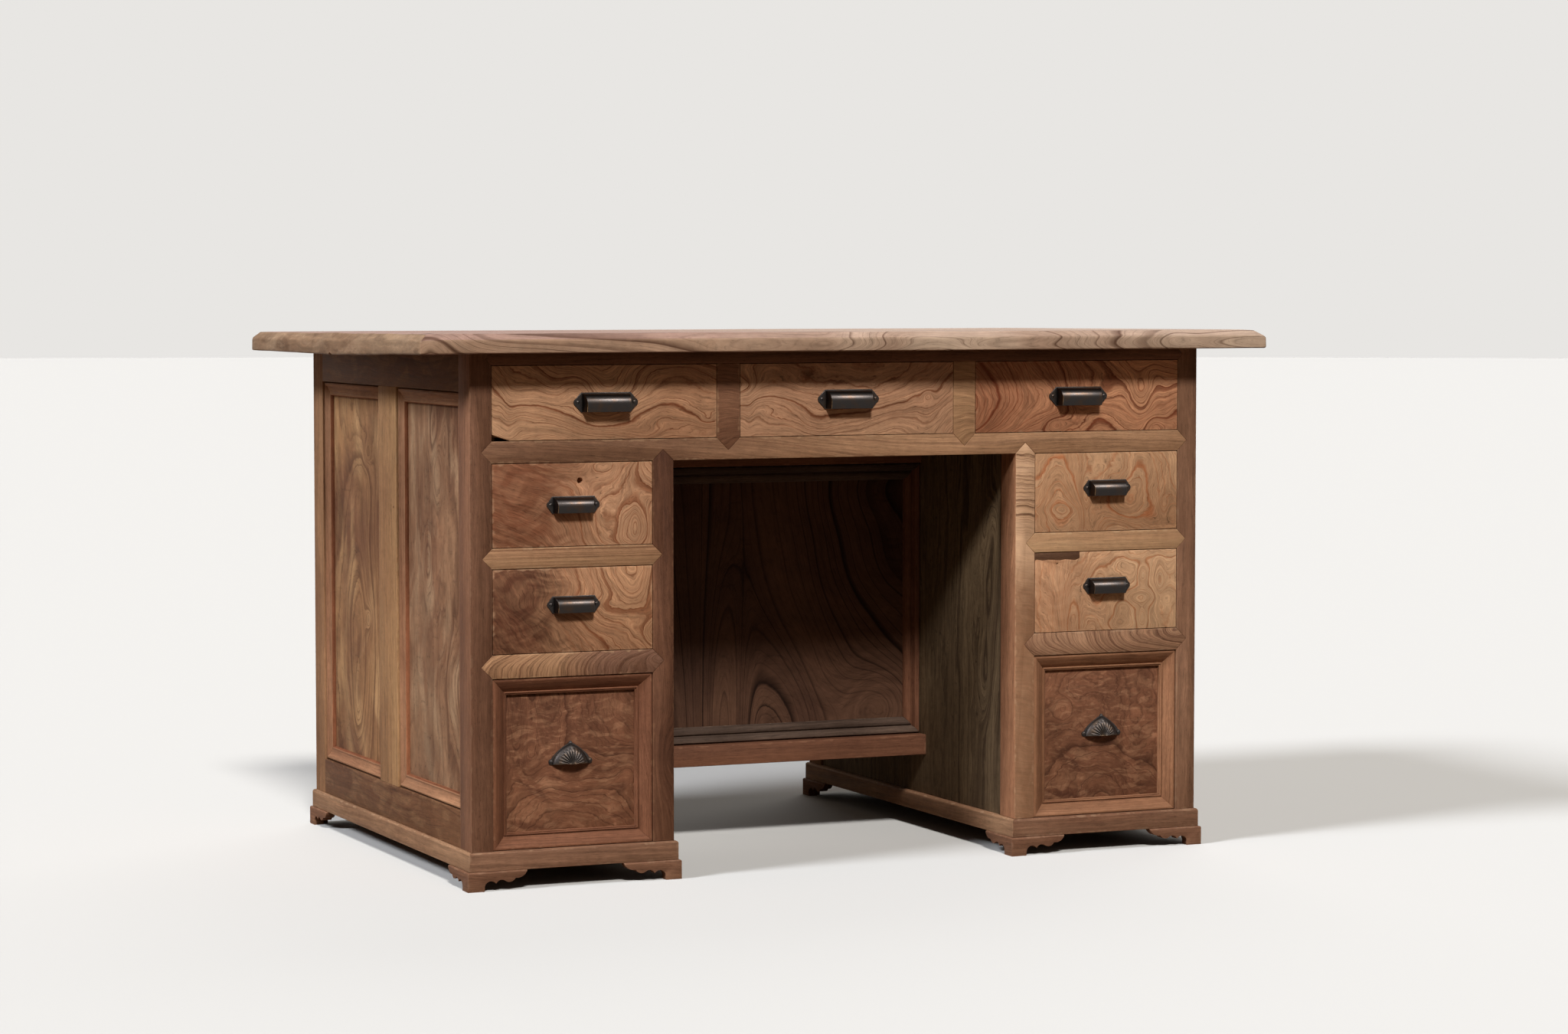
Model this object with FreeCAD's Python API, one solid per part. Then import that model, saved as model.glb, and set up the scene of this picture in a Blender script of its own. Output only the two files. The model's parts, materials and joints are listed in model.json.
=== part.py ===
import FreeCAD, Part
import os
from FreeCAD import Rotation, Vector

# Twin-pedestal writing desk in solid wood, in millimetres.
# X runs along the front, Y into the depth, Z up. The finished part has its
# origin on the floor, under the middle of the desk top.

# Openings and frame members of the front
knee_width = 545.0
pedestal_opening = 241.0
post_width = 32.0
post_depth = 48.0
top_muntin_width = 35.5
carcass_depth = 747.0
front_rail_depth = 45.0

# Heights, from the floor up
foot_height = 27.5
plinth_height = 27.0
deep_height = 242.0
lower_rail_height = 33.5
lower_height = 120.0
upper_rail_height = 29.0
upper_height = 118.5
apron_height = 31.0
top_drawer_height = 106.0
top_rail_height = 17.0
slab_thickness = 28.5

# Desk top
slab_edge_height = 21.0
slab_bevel_width = 13.0
slab_end_overhang = 91.0
slab_front_overhang = 54.0
slab_rear_overhang = 46.0
slab_edge_round = 2.0

# Mitred tips and tenons of the frame joints
tip_depth = 10.0
tenon_thickness = 10.0
tenon_length = 18.0
tenon_shoulder = 5.0
stub_length = 9.0

# Side frames
side_thickness = 24.0
side_top_rail_height = 54.5
side_bottom_rail_height = 53.0
side_muntin_width = 85.0
panel_thickness = 8.0
panel_setback = 12.0
groove_depth = 6.0
side_moulding_width = 22.0
side_moulding_lip = 1.0
side_bead = 4.0

# Boards that close the pedestals towards the knee hole
inner_board_thickness = 12.0
inner_board_recess = 3.0

# Back of the desk
back_thickness = 24.0
back_bottom_rail_height = 53.0
back_panel_setback = 8.0

# Knee panel, set back between the pedestals
knee_rail_setback = 308.0
knee_frame_setback = 326.0
knee_panel_setback = 340.0
knee_rail_bottom = 116.5
knee_rail_height = 31.0
knee_top_rail_height = 36.0
knee_moulding_width = 26.0
knee_moulding_lip = 1.0
knee_bead = 5.0

# Plinth frames and bracket feet
plinth_proud = 5.0
plinth_member_width = 60.0
plinth_round = 4.0
foot_proud = 3.3
foot_wing_length = 88.0
foot_thickness = 15.0
foot_round = 2.5

# Scroll of a foot wing: how far along the wing, and how high, as shares of
# the wing's length and height. Each arc starts where the last one ended.
scroll_start_shares = (0.278, 0.25)
scroll_arc_shares = (
    ((0.330, 0.480), (0.472, 0.385)),
    ((0.548, 0.565), (0.620, 0.520)),
    ((0.710, 0.435), (0.800, 0.630)),
    ((0.935, 0.720), (1.0, 1.0)),
)

# Drawers
front_gap = 0.8
front_thickness = 20.0
front_edge_round = 0.7
box_rear_room = 107.0
box_side_gap = 1.5
box_side_thickness = 10.0
box_top_gap = 5.0
box_back_thickness = 10.0
box_back_drop = 4.0
bottom_thickness = 6.0
bottom_rise = 8.0
bottom_groove = 5.0
running_gap = 0.3
tail_length = 8.0
tail_pitch_target = 34.0
tail_root_share = 0.46
tail_end_share = 0.70

# Framed fronts of the deep drawers
deep_moulding_width = 23.0
deep_moulding_depth = 15.0
deep_moulding_lip = 1.5
deep_bead = 5.0
deep_board_thickness = 13.0
moulding_cove = 1.6

# Runners, guides, kickers and stops
runner_height = 22.0
runner_ledge = 20.0
guide_height = 12.0
top_guide_height = 30.0
stop_width = 28.0
stop_length = 11.0
stop_height = 6.0
stop_gap = 0.3
stop_inset = 42.0
glue_block_size = 15.0
glue_block_length = 60.0

# Box pulls: the three top drawers have the large size, four others the small
large_pull = {
    "length": 97.0, "plate": 28.0, "body_length": 67.5, "body_height": 22.0,
    "reach": 16.0, "ear": 5.2,
}
small_pull = {
    "length": 79.5, "plate": 24.0, "body_length": 55.0, "body_height": 19.0,
    "reach": 14.0, "ear": 4.6,
}
pull_plate_thickness = 1.8
pull_wall = 1.7
pull_screw_radius = 1.5
pull_screw_head_radius = 2.8
pull_screw_head_height = 1.4
pull_screw_length = 11.0
pull_screw_inset = 5.6
raised_lower_pull = 8.0
raised_right_pull = 6.0

# Shell pulls of the two deep drawers
shell_width = 66.0
shell_height = 33.0
shell_drop = 5.0
shell_ear = 4.0
shell_crown = 3.0
shell_hollow_x_share = 0.60
shell_hollow_z_share = 0.56
shell_dome_radius = 23.5
shell_dome_reach = 13.0

# Places worked out from the sizes above
pedestal_width = post_width + pedestal_opening + post_width
half_knee = knee_width / 2
half_width = half_knee + pedestal_width
opening_outer = half_width - post_width
opening_inner = half_knee + post_width
pedestal_centre = half_knee + pedestal_width / 2
top_drawer_width = (2 * opening_outer - 2 * top_muntin_width) / 3
muntin_inner = top_drawer_width / 2
muntin_outer = muntin_inner + top_muntin_width
top_drawer_centre = muntin_outer + top_drawer_width / 2

plinth_top = foot_height + plinth_height
deep_top = plinth_top + deep_height
lower_bottom = deep_top + lower_rail_height
lower_top = lower_bottom + lower_height
upper_bottom = lower_top + upper_rail_height
upper_top = upper_bottom + upper_height
top_bottom = upper_top + apron_height
top_top = top_bottom + top_drawer_height
frame_top = top_top + top_rail_height
slab_top = frame_top + slab_thickness

rear_post_front = carcass_depth - post_depth
back_front = carcass_depth - back_thickness
side_inner = half_width - side_thickness
side_rail_bottom = frame_top - side_top_rail_height
side_rail_top = plinth_top + side_bottom_rail_height
muntin_front = (carcass_depth - side_muntin_width) / 2
muntin_rear = (carcass_depth + side_muntin_width) / 2
board_outer = half_knee + inner_board_recess
board_inner = board_outer + inner_board_thickness
knee_rail_top = knee_rail_bottom + knee_rail_height
knee_rear = knee_panel_setback + panel_thickness
knee_top_rail_top = top_bottom - runner_height
knee_top_rail_bottom = knee_top_rail_top - knee_top_rail_height
deep_front_rear = deep_moulding_depth + deep_board_thickness
box_depth = carcass_depth - box_rear_room
slab_width = 2 * (half_width + slab_end_overhang)
slab_depth = carcass_depth + slab_front_overhang + slab_rear_overhang
carcass_front_y = slab_front_overhang - slab_depth / 2


def block(x0, x1, y0, y1, z0, z1):
    return Part.makeBox(x1 - x0, y1 - y0, z1 - z0, Vector(x0, y0, z0))


def flat_prism(points, direction):
    face = Part.Face(Part.makePolygon(points + [points[0]]))
    return face.extrude(direction)


def mirrored(shape):
    return shape.mirror(Vector(0, 0, 0), Vector(1, 0, 0))


def both_sides(shapes):
    return shapes + [mirrored(shape) for shape in shapes]


def cut_by(solid, tools):
    for tool in tools:
        solid = solid.cut(tool)
    return solid.removeSplitter()


def joined(first, others):
    return first.fuse(others).removeSplitter()


def arc_edge(start, middle, end):
    return Part.Arc(start, middle, end).toShape()


def save(name, solids):
    placed = []
    for shape in solids:
        for solid in shape.Solids:
            solid = solid.copy()
            solid.translate(Vector(0, carcass_front_y, 0))
            placed.append(solid)
    whole = placed[0] if len(placed) == 1 else Part.makeCompound(placed)
    whole.exportStep("parts/" + name + ".step")
    print(name, len(placed), "solids", round(whole.Volume), "mm3", whole.isValid())


# Desk top: a thick slab with a flat bevel round its upper edge
def slab_outline(inset, z):
    x = slab_width / 2 - inset
    y0 = inset - slab_front_overhang
    y1 = carcass_depth + slab_rear_overhang - inset
    corners = [Vector(-x, y0, z), Vector(x, y0, z), Vector(x, y1, z), Vector(-x, y1, z)]
    return Part.makePolygon(corners + [corners[0]])


def make_slab():
    bevel_bottom = frame_top + slab_edge_height
    lower = Part.Face(slab_outline(0, frame_top)).extrude(Vector(0, 0, slab_edge_height))
    outlines = [slab_outline(0, bevel_bottom), slab_outline(slab_bevel_width, slab_top)]
    slab = joined(lower, [Part.makeLoft(outlines, True, True)])
    outer = [edge for edge in slab.Edges if edge.BoundBox.ZMin > frame_top or edge.BoundBox.ZLength > 0]
    return slab.makeFillet(slab_edge_round, outer)


# Frame joints: a pointed tip, half as long as the member is wide, laps over
# the member it meets, with a tenon hidden behind it
def tip_across(x, toward, z0, z1):
    half = (z1 - z0) / 2
    points = [Vector(x, 0, z0), Vector(x + toward * half, 0, z0 + half), Vector(x, 0, z1)]
    return flat_prism(points, Vector(0, tip_depth, 0))


def tip_upright(x0, x1, z, toward):
    half = (x1 - x0) / 2
    points = [Vector(x0, 0, z), Vector(x0 + half, 0, z + toward * half), Vector(x1, 0, z)]
    return flat_prism(points, Vector(0, tip_depth, 0))


def front_rail(x0, x1, z0, z1):
    body = block(x0, x1, 0, front_rail_depth, z0, z1)
    tenon_front = (front_rail_depth - tenon_thickness) / 2
    tenon = block(x0 - tenon_length, x1 + tenon_length, tenon_front, tenon_front + tenon_thickness,
                  z0 + tenon_shoulder, z1 - tenon_shoulder)
    return joined(body, [tip_across(x0, -1, z0, z1), tip_across(x1, 1, z0, z1), tenon])


def upright_stub(x0, x1, z, toward):
    tenon_front = (front_rail_depth - tenon_thickness) / 2
    z0, z1 = sorted((z, z + toward * stub_length))
    return block(x0 + tenon_shoulder, x1 - tenon_shoulder, tenon_front,
                 tenon_front + tenon_thickness, z0, z1)


def inner_front_post():
    body = block(half_knee, opening_inner, 0, post_depth, plinth_top, upper_top)
    tip = tip_upright(half_knee, opening_inner, upper_top, 1)
    return joined(body, [tip, upright_stub(half_knee, opening_inner, upper_top, 1)])


def top_muntin():
    body = block(muntin_inner, muntin_outer, 0, front_rail_depth, top_bottom, top_top)
    tip = tip_upright(muntin_inner, muntin_outer, top_bottom, -1)
    return joined(body, [tip, upright_stub(muntin_inner, muntin_outer, top_bottom, -1)])


# Right side of the carcass, later mirrored for the left
def side_rail(z0, z1):
    body = block(side_inner, half_width, post_depth, rear_post_front, z0, z1)
    middle = (side_inner + half_width) / 2
    tenon = block(middle - tenon_thickness / 2, middle + tenon_thickness / 2,
                  post_depth - tenon_length, rear_post_front + tenon_length,
                  z0 + tenon_shoulder, z1 - tenon_shoulder)
    return joined(body, [tenon])


def side_muntin():
    return block(side_inner, half_width, muntin_front, muntin_rear, side_rail_top, side_rail_bottom)


def side_panel(y0, y1):
    face = half_width - panel_setback
    return block(face - panel_thickness, face, y0 - groove_depth, y1 + groove_depth,
                 side_rail_top - groove_depth, side_rail_bottom + groove_depth)


# A planted moulding: a lip at its outer edge, a shallow cove that slopes in
# to a round bead, and a flat back. Local Z runs inward, local Y into the wood.
def moulding_face(width, depth, lip, bead):
    slope_end = width - bead
    bead_level = depth - bead
    lip_point = Vector(0, lip, 0)
    slope_point = Vector(0, bead_level, slope_end)
    along = slope_point - lip_point
    across = Vector(0, along.z, -along.y).normalize()
    middle = (lip_point + slope_point) / 2 + across * moulding_cove
    bead_top = Vector(0, bead_level - bead / 2, width - bead / 2)
    bead_end = Vector(0, bead_level, width)
    edges = [
        Part.makeLine(Vector(0, depth, 0), lip_point),
        arc_edge(lip_point, middle, slope_point),
        arc_edge(slope_point, bead_top, bead_end),
        Part.makeLine(bead_end, Vector(0, depth, width)),
        Part.makeLine(Vector(0, depth, width), Vector(0, depth, 0)),
    ]
    return Part.Face(Part.Wire(edges))


def mitred_strip(length, width, depth, lip, bead):
    strip = moulding_face(width, depth, lip, bead).extrude(Vector(length, 0, 0))
    corners = [Vector(0, 0, 0), Vector(length, 0, 0), Vector(length - width, 0, width),
               Vector(width, 0, width)]
    return strip.common(flat_prism(corners, Vector(0, depth, 0)))


def moulding_frame(across, height, width, depth, lip, bead):
    placings = (
        (across, 0, Vector(0, 0, 0)),
        (across, 180, Vector(across, 0, height)),
        (height, -90, Vector(across, 0, 0)),
        (height, 90, Vector(0, 0, height)),
    )
    strips = []
    for length, angle, corner in placings:
        strip = mitred_strip(length, width, depth, lip, bead)
        strip.Placement = FreeCAD.Placement(corner, Rotation(Vector(0, 1, 0), angle))
        strips.append(strip)
    return strips


def side_mouldings(y0, y1):
    frame = moulding_frame(y1 - y0, side_rail_bottom - side_rail_top, side_moulding_width,
                           panel_setback, side_moulding_lip, side_bead)
    turn = FreeCAD.Placement(Vector(half_width, y0, side_rail_top), Rotation(Vector(0, 0, 1), 90))
    for strip in frame:
        strip.Placement = turn.multiply(strip.Placement)
    return frame


# Back of the desk
def back_rail(x0, x1, z0, z1):
    body = block(x0, x1, back_front, carcass_depth, z0, z1)
    middle = (back_front + carcass_depth) / 2
    tenon = block(x0 - tenon_length, x1 + tenon_length, middle - tenon_thickness / 2,
                  middle + tenon_thickness / 2, z0 + tenon_shoulder, z1 - tenon_shoulder)
    return joined(body, [tenon])


def back_panel(x0, x1, z0, z1):
    rear = carcass_depth - back_panel_setback
    return block(x0 - groove_depth, x1 + groove_depth, rear - panel_thickness, rear,
                 z0 - groove_depth, z1 + groove_depth)


# Plinth frame of one pedestal: four mitred members under the posts, proud of
# the carcass all round, with a softly rounded upper edge
def plinth_frame():
    x0 = half_knee - plinth_proud
    x1 = half_width + plinth_proud
    y0 = -plinth_proud
    y1 = carcass_depth + plinth_proud
    width = plinth_member_width
    outer = block(x0, x1, y0, y1, foot_height, plinth_top)
    top_edges = [edge for edge in outer.Edges if edge.BoundBox.ZMin > foot_height]
    outer = outer.makeFillet(plinth_round, top_edges)
    ring = outer.cut(block(x0 + width, x1 - width, y0 + width, y1 - width, foot_height, plinth_top))
    outside = [(x0, y0), (x1, y0), (x1, y1), (x0, y1)]
    inside = [(x0 + width, y0 + width), (x1 - width, y0 + width),
              (x1 - width, y1 - width), (x0 + width, y1 - width)]
    members = []
    for i in range(4):
        j = (i + 1) % 4
        plan = [outside[i], outside[j], inside[j], inside[i]]
        sector = flat_prism([Vector(x, y, foot_height) for x, y in plan], Vector(0, 0, plinth_height))
        members.append(ring.common(sector))
    return members


# Bracket foot: two scrolled wings mitred at the corner. Built with the corner
# at the local origin, running along +X and +Y.
def foot_wing():
    def place(shares):
        return Vector(foot_wing_length * shares[0], 0, foot_height * shares[1])

    leg = foot_wing_length * scroll_start_shares[0]
    point = place(scroll_start_shares)
    edges = [
        Part.makeLine(Vector(0, 0, foot_height), Vector(0, 0, 0)),
        Part.makeLine(Vector(0, 0, 0), Vector(leg, 0, 0)),
        Part.makeLine(Vector(leg, 0, 0), point),
    ]
    for middle, end in scroll_arc_shares:
        edges.append(arc_edge(point, place(middle), place(end)))
        point = place(end)
    edges.append(Part.makeLine(point, Vector(0, 0, foot_height)))
    wing = Part.Face(Part.Wire(edges)).extrude(Vector(0, foot_thickness, 0))
    upper = [edge for edge in wing.Edges
             if edge.BoundBox.ZMin > foot_height - foot_round and edge.BoundBox.YMax < foot_round]
    wing = wing.makeFillet(foot_round, upper)
    mitre = [Vector(0, 0, 0), Vector(foot_thickness, foot_thickness, 0), Vector(0, foot_thickness, 0)]
    return wing.cut(flat_prism(mitre, Vector(0, 0, foot_height)))


def pedestal_feet():
    wing = foot_wing()
    pair = [wing, wing.mirror(Vector(0, 0, 0), Vector(1, -1, 0))]
    out = plinth_proud + foot_proud
    feet = []
    for solid in pair:
        near = solid.copy()
        near.translate(Vector(half_knee - out, -out, 0))
        front = [near, near.mirror(Vector(pedestal_centre, 0, 0), Vector(1, 0, 0))]
        rear = [foot.mirror(Vector(0, carcass_depth / 2, 0), Vector(0, 1, 0)) for foot in front]
        feet += front + rear
    return feet


# Runners: a ledge under the drawer side with a guide beside it, in one piece
def outer_runner(level):
    ledge = block(opening_outer - runner_ledge, side_inner, post_depth, rear_post_front,
                  level - runner_height, level)
    guide = block(opening_outer, side_inner, post_depth, rear_post_front, level, level + guide_height)
    return joined(ledge, [guide])


def inner_runner(level):
    ledge = block(board_inner, opening_inner + runner_ledge, post_depth, rear_post_front,
                  level - runner_height, level)
    guide = block(board_inner, opening_inner, post_depth, rear_post_front, level, level + guide_height)
    return joined(ledge, [guide])


def plinth_guides():
    outer = block(opening_outer, side_inner, post_depth, rear_post_front,
                  plinth_top, plinth_top + guide_height)
    inner = block(board_inner, opening_inner, post_depth, rear_post_front,
                  plinth_top, plinth_top + guide_height)
    return [outer, inner]


def muntin_runner():
    ledge = block(muntin_inner - runner_ledge, muntin_outer + runner_ledge, front_rail_depth,
                  back_front, top_bottom - runner_height, top_bottom)
    guide = block(muntin_inner, muntin_outer, front_rail_depth, back_front,
                  top_bottom, top_bottom + top_guide_height)
    return joined(ledge, [guide])


def kicker():
    return block(muntin_inner - runner_ledge, muntin_outer + runner_ledge, front_rail_depth,
                 back_front, top_top, frame_top)


def stops_for(centre, width, level, front_rear):
    stops = []
    for side in (-1, 1):
        middle = centre + side * (width / 2 - stop_inset)
        stops.append(block(middle - stop_width / 2, middle + stop_width / 2, front_rear + stop_gap,
                           front_rear + stop_gap + stop_length, level, level + stop_height))
    return stops


def glue_blocks():
    side_places = (post_depth, carcass_depth / 2 - glue_block_length / 2,
                   rear_post_front - glue_block_length)
    blocks = []
    for y in side_places:
        blocks.append(block(side_inner - glue_block_size, side_inner, y, y + glue_block_length,
                            frame_top - glue_block_size, frame_top))
    blocks = both_sides(blocks)
    for x in (-top_drawer_centre, 0, top_drawer_centre):
        blocks.append(block(x - glue_block_length / 2, x + glue_block_length / 2,
                            back_front - glue_block_size, back_front,
                            frame_top - glue_block_size, frame_top))
    return blocks


# Pulls. Each is built round the middle of its plate, with the back of the
# plate on the local XZ plane and the hand side towards -Y.
def screw(x, z, plate_front):
    shank = Part.makeCylinder(pull_screw_radius, pull_screw_length + plate_front,
                              Vector(x, -plate_front, z), Vector(0, 1, 0))
    ball_radius = (pull_screw_head_radius ** 2 + pull_screw_head_height ** 2) / (2 * pull_screw_head_height)
    ball_centre = Vector(x, ball_radius - pull_screw_head_height - plate_front, z)
    ball = Part.makeSphere(ball_radius, ball_centre)
    reach = 2 * ball_radius
    keep = block(x - reach, x + reach, -plate_front - reach, -plate_front, z - reach, z + reach)
    return joined(shank, [ball.common(keep)])


def box_pull_plate(size):
    half = size["length"] / 2
    shoulder = size["body_length"] / 2
    rise = size["plate"] / 2
    ear = size["ear"]
    plate = flat_prism([Vector(-shoulder, 0, -rise), Vector(shoulder, 0, -rise),
                        Vector(half - ear, 0, -ear), Vector(half - ear, 0, ear),
                        Vector(shoulder, 0, rise), Vector(-shoulder, 0, rise),
                        Vector(ear - half, 0, ear), Vector(ear - half, 0, -ear)],
                       Vector(0, -pull_plate_thickness, 0))
    for side in (-1, 1):
        end = Part.makeCylinder(ear, pull_plate_thickness, Vector(side * (half - ear), 0, 0),
                                Vector(0, -1, 0))
        plate = joined(plate, [end])
    return plate


def quarter_hood(length, reach, top, bottom):
    knuckle = top - reach
    diagonal = reach * 2 ** 0.5 / 2
    x = -length / 2
    high = Vector(x, 0, top)
    low = Vector(x, -reach, knuckle)
    edges = [
        arc_edge(high, Vector(x, -diagonal, knuckle + diagonal), low),
        Part.makeLine(low, Vector(x, -reach, bottom)),
        Part.makeLine(Vector(x, -reach, bottom), Vector(x, 0, bottom)),
        Part.makeLine(Vector(x, 0, bottom), high),
    ]
    return Part.Face(Part.Wire(edges)).extrude(Vector(length, 0, 0))


def box_pull(size):
    half_height = size["body_height"] / 2
    outer = quarter_hood(size["body_length"], size["reach"], half_height, -half_height)
    inner = quarter_hood(size["body_length"] - 2 * pull_wall, size["reach"] - pull_wall,
                         half_height - pull_wall, -half_height)
    hollow_back = block(-size["length"], size["length"], -pull_plate_thickness, 0,
                        -size["plate"], size["plate"])
    hood = outer.cut(inner.cut(hollow_back))
    casting = joined(box_pull_plate(size), [hood])
    place = size["length"] / 2 - pull_screw_inset
    screws = [screw(side * place, 0, pull_plate_thickness) for side in (-1, 1)]
    return cut_by(casting, screws), screws


# Shell pull: a pointed plate with a half dome that is open below
def shell_plate():
    half = shell_width / 2
    low = shell_ear
    crown = shell_height - shell_crown
    side_middle_x = half * shell_hollow_x_share
    side_middle_z = shell_height * shell_hollow_z_share
    edges = [
        Part.makeLine(Vector(-half + low, 0, 0), Vector(half - low, 0, 0)),
        arc_edge(Vector(half - low, 0, 0), Vector(half, 0, low), Vector(half - low, 0, 2 * low)),
        arc_edge(Vector(half - low, 0, 2 * low), Vector(side_middle_x, 0, side_middle_z),
                 Vector(shell_crown, 0, crown)),
        arc_edge(Vector(shell_crown, 0, crown), Vector(0, 0, shell_height),
                 Vector(-shell_crown, 0, crown)),
        arc_edge(Vector(-shell_crown, 0, crown), Vector(-side_middle_x, 0, side_middle_z),
                 Vector(low - half, 0, 2 * low)),
        arc_edge(Vector(low - half, 0, 2 * low), Vector(-half, 0, low), Vector(low - half, 0, 0)),
    ]
    return Part.Face(Part.Wire(edges)).extrude(Vector(0, -pull_plate_thickness, 0))


def half_dome(radius, reach):
    ball_radius = (radius ** 2 + reach ** 2) / (2 * reach)
    ball = Part.makeSphere(ball_radius, Vector(0, ball_radius - reach, 0))
    return ball.common(block(-radius, radius, -reach, 0, 0, radius))


def shell_pull():
    outer = half_dome(shell_dome_radius, shell_dome_reach)
    inner = half_dome(shell_dome_radius - pull_wall, shell_dome_reach - pull_wall)
    backing = block(-shell_width, shell_width, -pull_plate_thickness, 0, 0, shell_height)
    dome = outer.cut(inner.cut(backing))
    casting = joined(shell_plate(), [dome])
    side = shell_width / 2 - shell_ear
    places = ((-side, shell_ear), (side, shell_ear), (0, shell_height - shell_ear))
    screws = [screw(x, z, pull_plate_thickness) for x, z in places]
    return cut_by(casting, screws), screws


# Drawers. The box has dovetailed sides let into the back of the front, a
# bottom in grooves, and a back that stands on the bottom.
def drawer_side(x0, x1, z0, z1, front_rear):
    board = block(x0, x1, front_rear, box_depth, z0, z1)
    count = max(2, round((z1 - z0) / tail_pitch_target))
    pitch = (z1 - z0) / count
    tails = []
    for i in range(count):
        middle = z0 + (i + 1 / 2) * pitch
        root = pitch * tail_root_share / 2
        end = pitch * tail_end_share / 2
        tails.append(flat_prism([Vector(x0, front_rear, middle - root),
                                 Vector(x0, front_rear, middle + root),
                                 Vector(x0, front_rear - tail_length, middle + end),
                                 Vector(x0, front_rear - tail_length, middle - end)],
                                Vector(x1 - x0, 0, 0)))
    return joined(board, tails)


def drawer_box(centre, width, level, height, front_rear):
    outer = width / 2 - box_side_gap
    inner = outer - box_side_thickness
    z0 = level + running_gap
    z1 = level + height - box_top_gap
    floor_bottom = z0 + bottom_rise
    floor_top = floor_bottom + bottom_thickness
    floor = block(centre - inner - bottom_groove, centre + inner + bottom_groove,
                  front_rear - bottom_groove, box_depth, floor_bottom, floor_top)
    back = block(centre - inner, centre + inner, box_depth - box_back_thickness, box_depth,
                 floor_top, z1 - box_back_drop)
    sides = []
    for x0 in (centre - outer, centre + inner):
        side = drawer_side(x0, x0 + box_side_thickness, z0, z1, front_rear)
        sides.append(side.cut(floor))
    return sides + [floor, back]


def front_board(centre, width, level, height, y0, y1):
    half = width / 2 - front_gap
    board = block(centre - half, centre + half, y0, y1, level + front_gap, level + height - front_gap)
    edges = [edge for edge in board.Edges if edge.BoundBox.YMax < y1 - front_edge_round]
    return board.makeFillet(front_edge_round, edges)


def placed_pull(pull, centre, y, z):
    casting, screws = pull
    moved = []
    for solid in [casting] + screws:
        solid = solid.copy()
        solid.translate(Vector(centre, y, z))
        moved.append(solid)
    return moved


def save_drawer(name, centre, width, level, height, pull, rise):
    box = drawer_box(centre, width, level, height, front_thickness)
    handle = placed_pull(pull, centre, 0, level + height / 2 + rise)
    front = front_board(centre, width, level, height, 0, front_thickness)
    save(name + "_front", [cut_by(front, box + handle[1:])])
    save(name + "_box", box)
    save(name + "_pull", handle)


def save_deep_drawer(name, centre, pull):
    width = pedestal_opening
    box = drawer_box(centre, width, plinth_top, deep_height, deep_front_rear)
    handle = placed_pull(pull, centre, deep_moulding_depth,
                         plinth_top + deep_height / 2 - shell_drop)
    half = width / 2 - front_gap
    panel = block(centre - half, centre + half, deep_moulding_depth, deep_front_rear,
                  plinth_top + front_gap, deep_top - front_gap)
    frame = moulding_frame(2 * half, deep_height - 2 * front_gap, deep_moulding_width,
                           deep_moulding_depth, deep_moulding_lip, deep_bead)
    for strip in frame:
        strip.translate(Vector(centre - half, 0, plinth_top + front_gap))
    save(name + "_panel", [cut_by(panel, box + handle[1:])])
    save(name + "_moulding", frame)
    save(name + "_box", box)
    save(name + "_pull", handle)


os.makedirs("parts", exist_ok=True)

save("desk_top", [make_slab()])

# Front frame
inner_post = inner_front_post()
muntin = top_muntin()
upper_rail = front_rail(opening_inner, opening_outer, lower_top, upper_bottom)
lower_rail = front_rail(opening_inner, opening_outer, deep_top, lower_bottom)
top_rail = front_rail(-opening_outer, opening_outer, top_top, frame_top)
apron = front_rail(-opening_outer, opening_outer, upper_top, top_bottom)
apron = cut_by(apron, both_sides([inner_post, muntin]))
side_rails = [side_rail(side_rail_bottom, frame_top), side_rail(plinth_top, side_rail_top)]
side_openings = ((post_depth, muntin_front), (muntin_rear, rear_post_front))
side_panels = [side_panel(y0, y1) for y0, y1 in side_openings]
outer_post = block(opening_outer, half_width, 0, post_depth, plinth_top, frame_top)
outer_post = cut_by(outer_post, [top_rail, apron, upper_rail, lower_rail] + side_rails + side_panels)
inner_post = cut_by(inner_post, [upper_rail, lower_rail])

save("front_post_right_outer", [outer_post])
save("front_post_right_inner", [inner_post])
save("front_post_left_outer", [mirrored(outer_post)])
save("front_post_left_inner", [mirrored(inner_post)])
save("front_top_rail", [top_rail])
save("apron_rail", [apron])
save("top_muntin_right", [muntin])
save("top_muntin_left", [mirrored(muntin)])
save("right_upper_rail", [upper_rail])
save("right_lower_rail", [lower_rail])
save("left_upper_rail", [mirrored(upper_rail)])
save("left_lower_rail", [mirrored(lower_rail)])

# Back frame
frieze_panel = back_panel(-opening_outer, opening_outer, top_bottom, side_rail_bottom)
pedestal_panel = back_panel(opening_inner, opening_outer, plinth_top + back_bottom_rail_height, upper_top)
pedestal_panels = both_sides([pedestal_panel])
back_top = back_rail(-opening_outer, opening_outer, side_rail_bottom, frame_top).cut(frieze_panel)
back_middle = back_rail(-opening_outer, opening_outer, upper_top, top_bottom)
back_middle = cut_by(back_middle, [frieze_panel] + pedestal_panels)
back_low = back_rail(opening_inner, opening_outer, plinth_top, plinth_top + back_bottom_rail_height)
back_low = back_low.cut(pedestal_panel)
rear_outer = block(opening_outer, half_width, rear_post_front, carcass_depth, plinth_top, frame_top)
rear_outer = cut_by(rear_outer, [back_top, back_middle, back_low, frieze_panel, pedestal_panel]
                    + side_rails + side_panels)
rear_inner = block(half_knee, opening_inner, rear_post_front, carcass_depth, plinth_top, upper_top)
rear_inner = cut_by(rear_inner, [back_low, pedestal_panel])
save("rear_posts", both_sides([rear_outer, rear_inner]))
save("back_rails", [back_top, back_middle] + both_sides([back_low]))
save("back_panels", [frieze_panel] + pedestal_panels)

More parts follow.
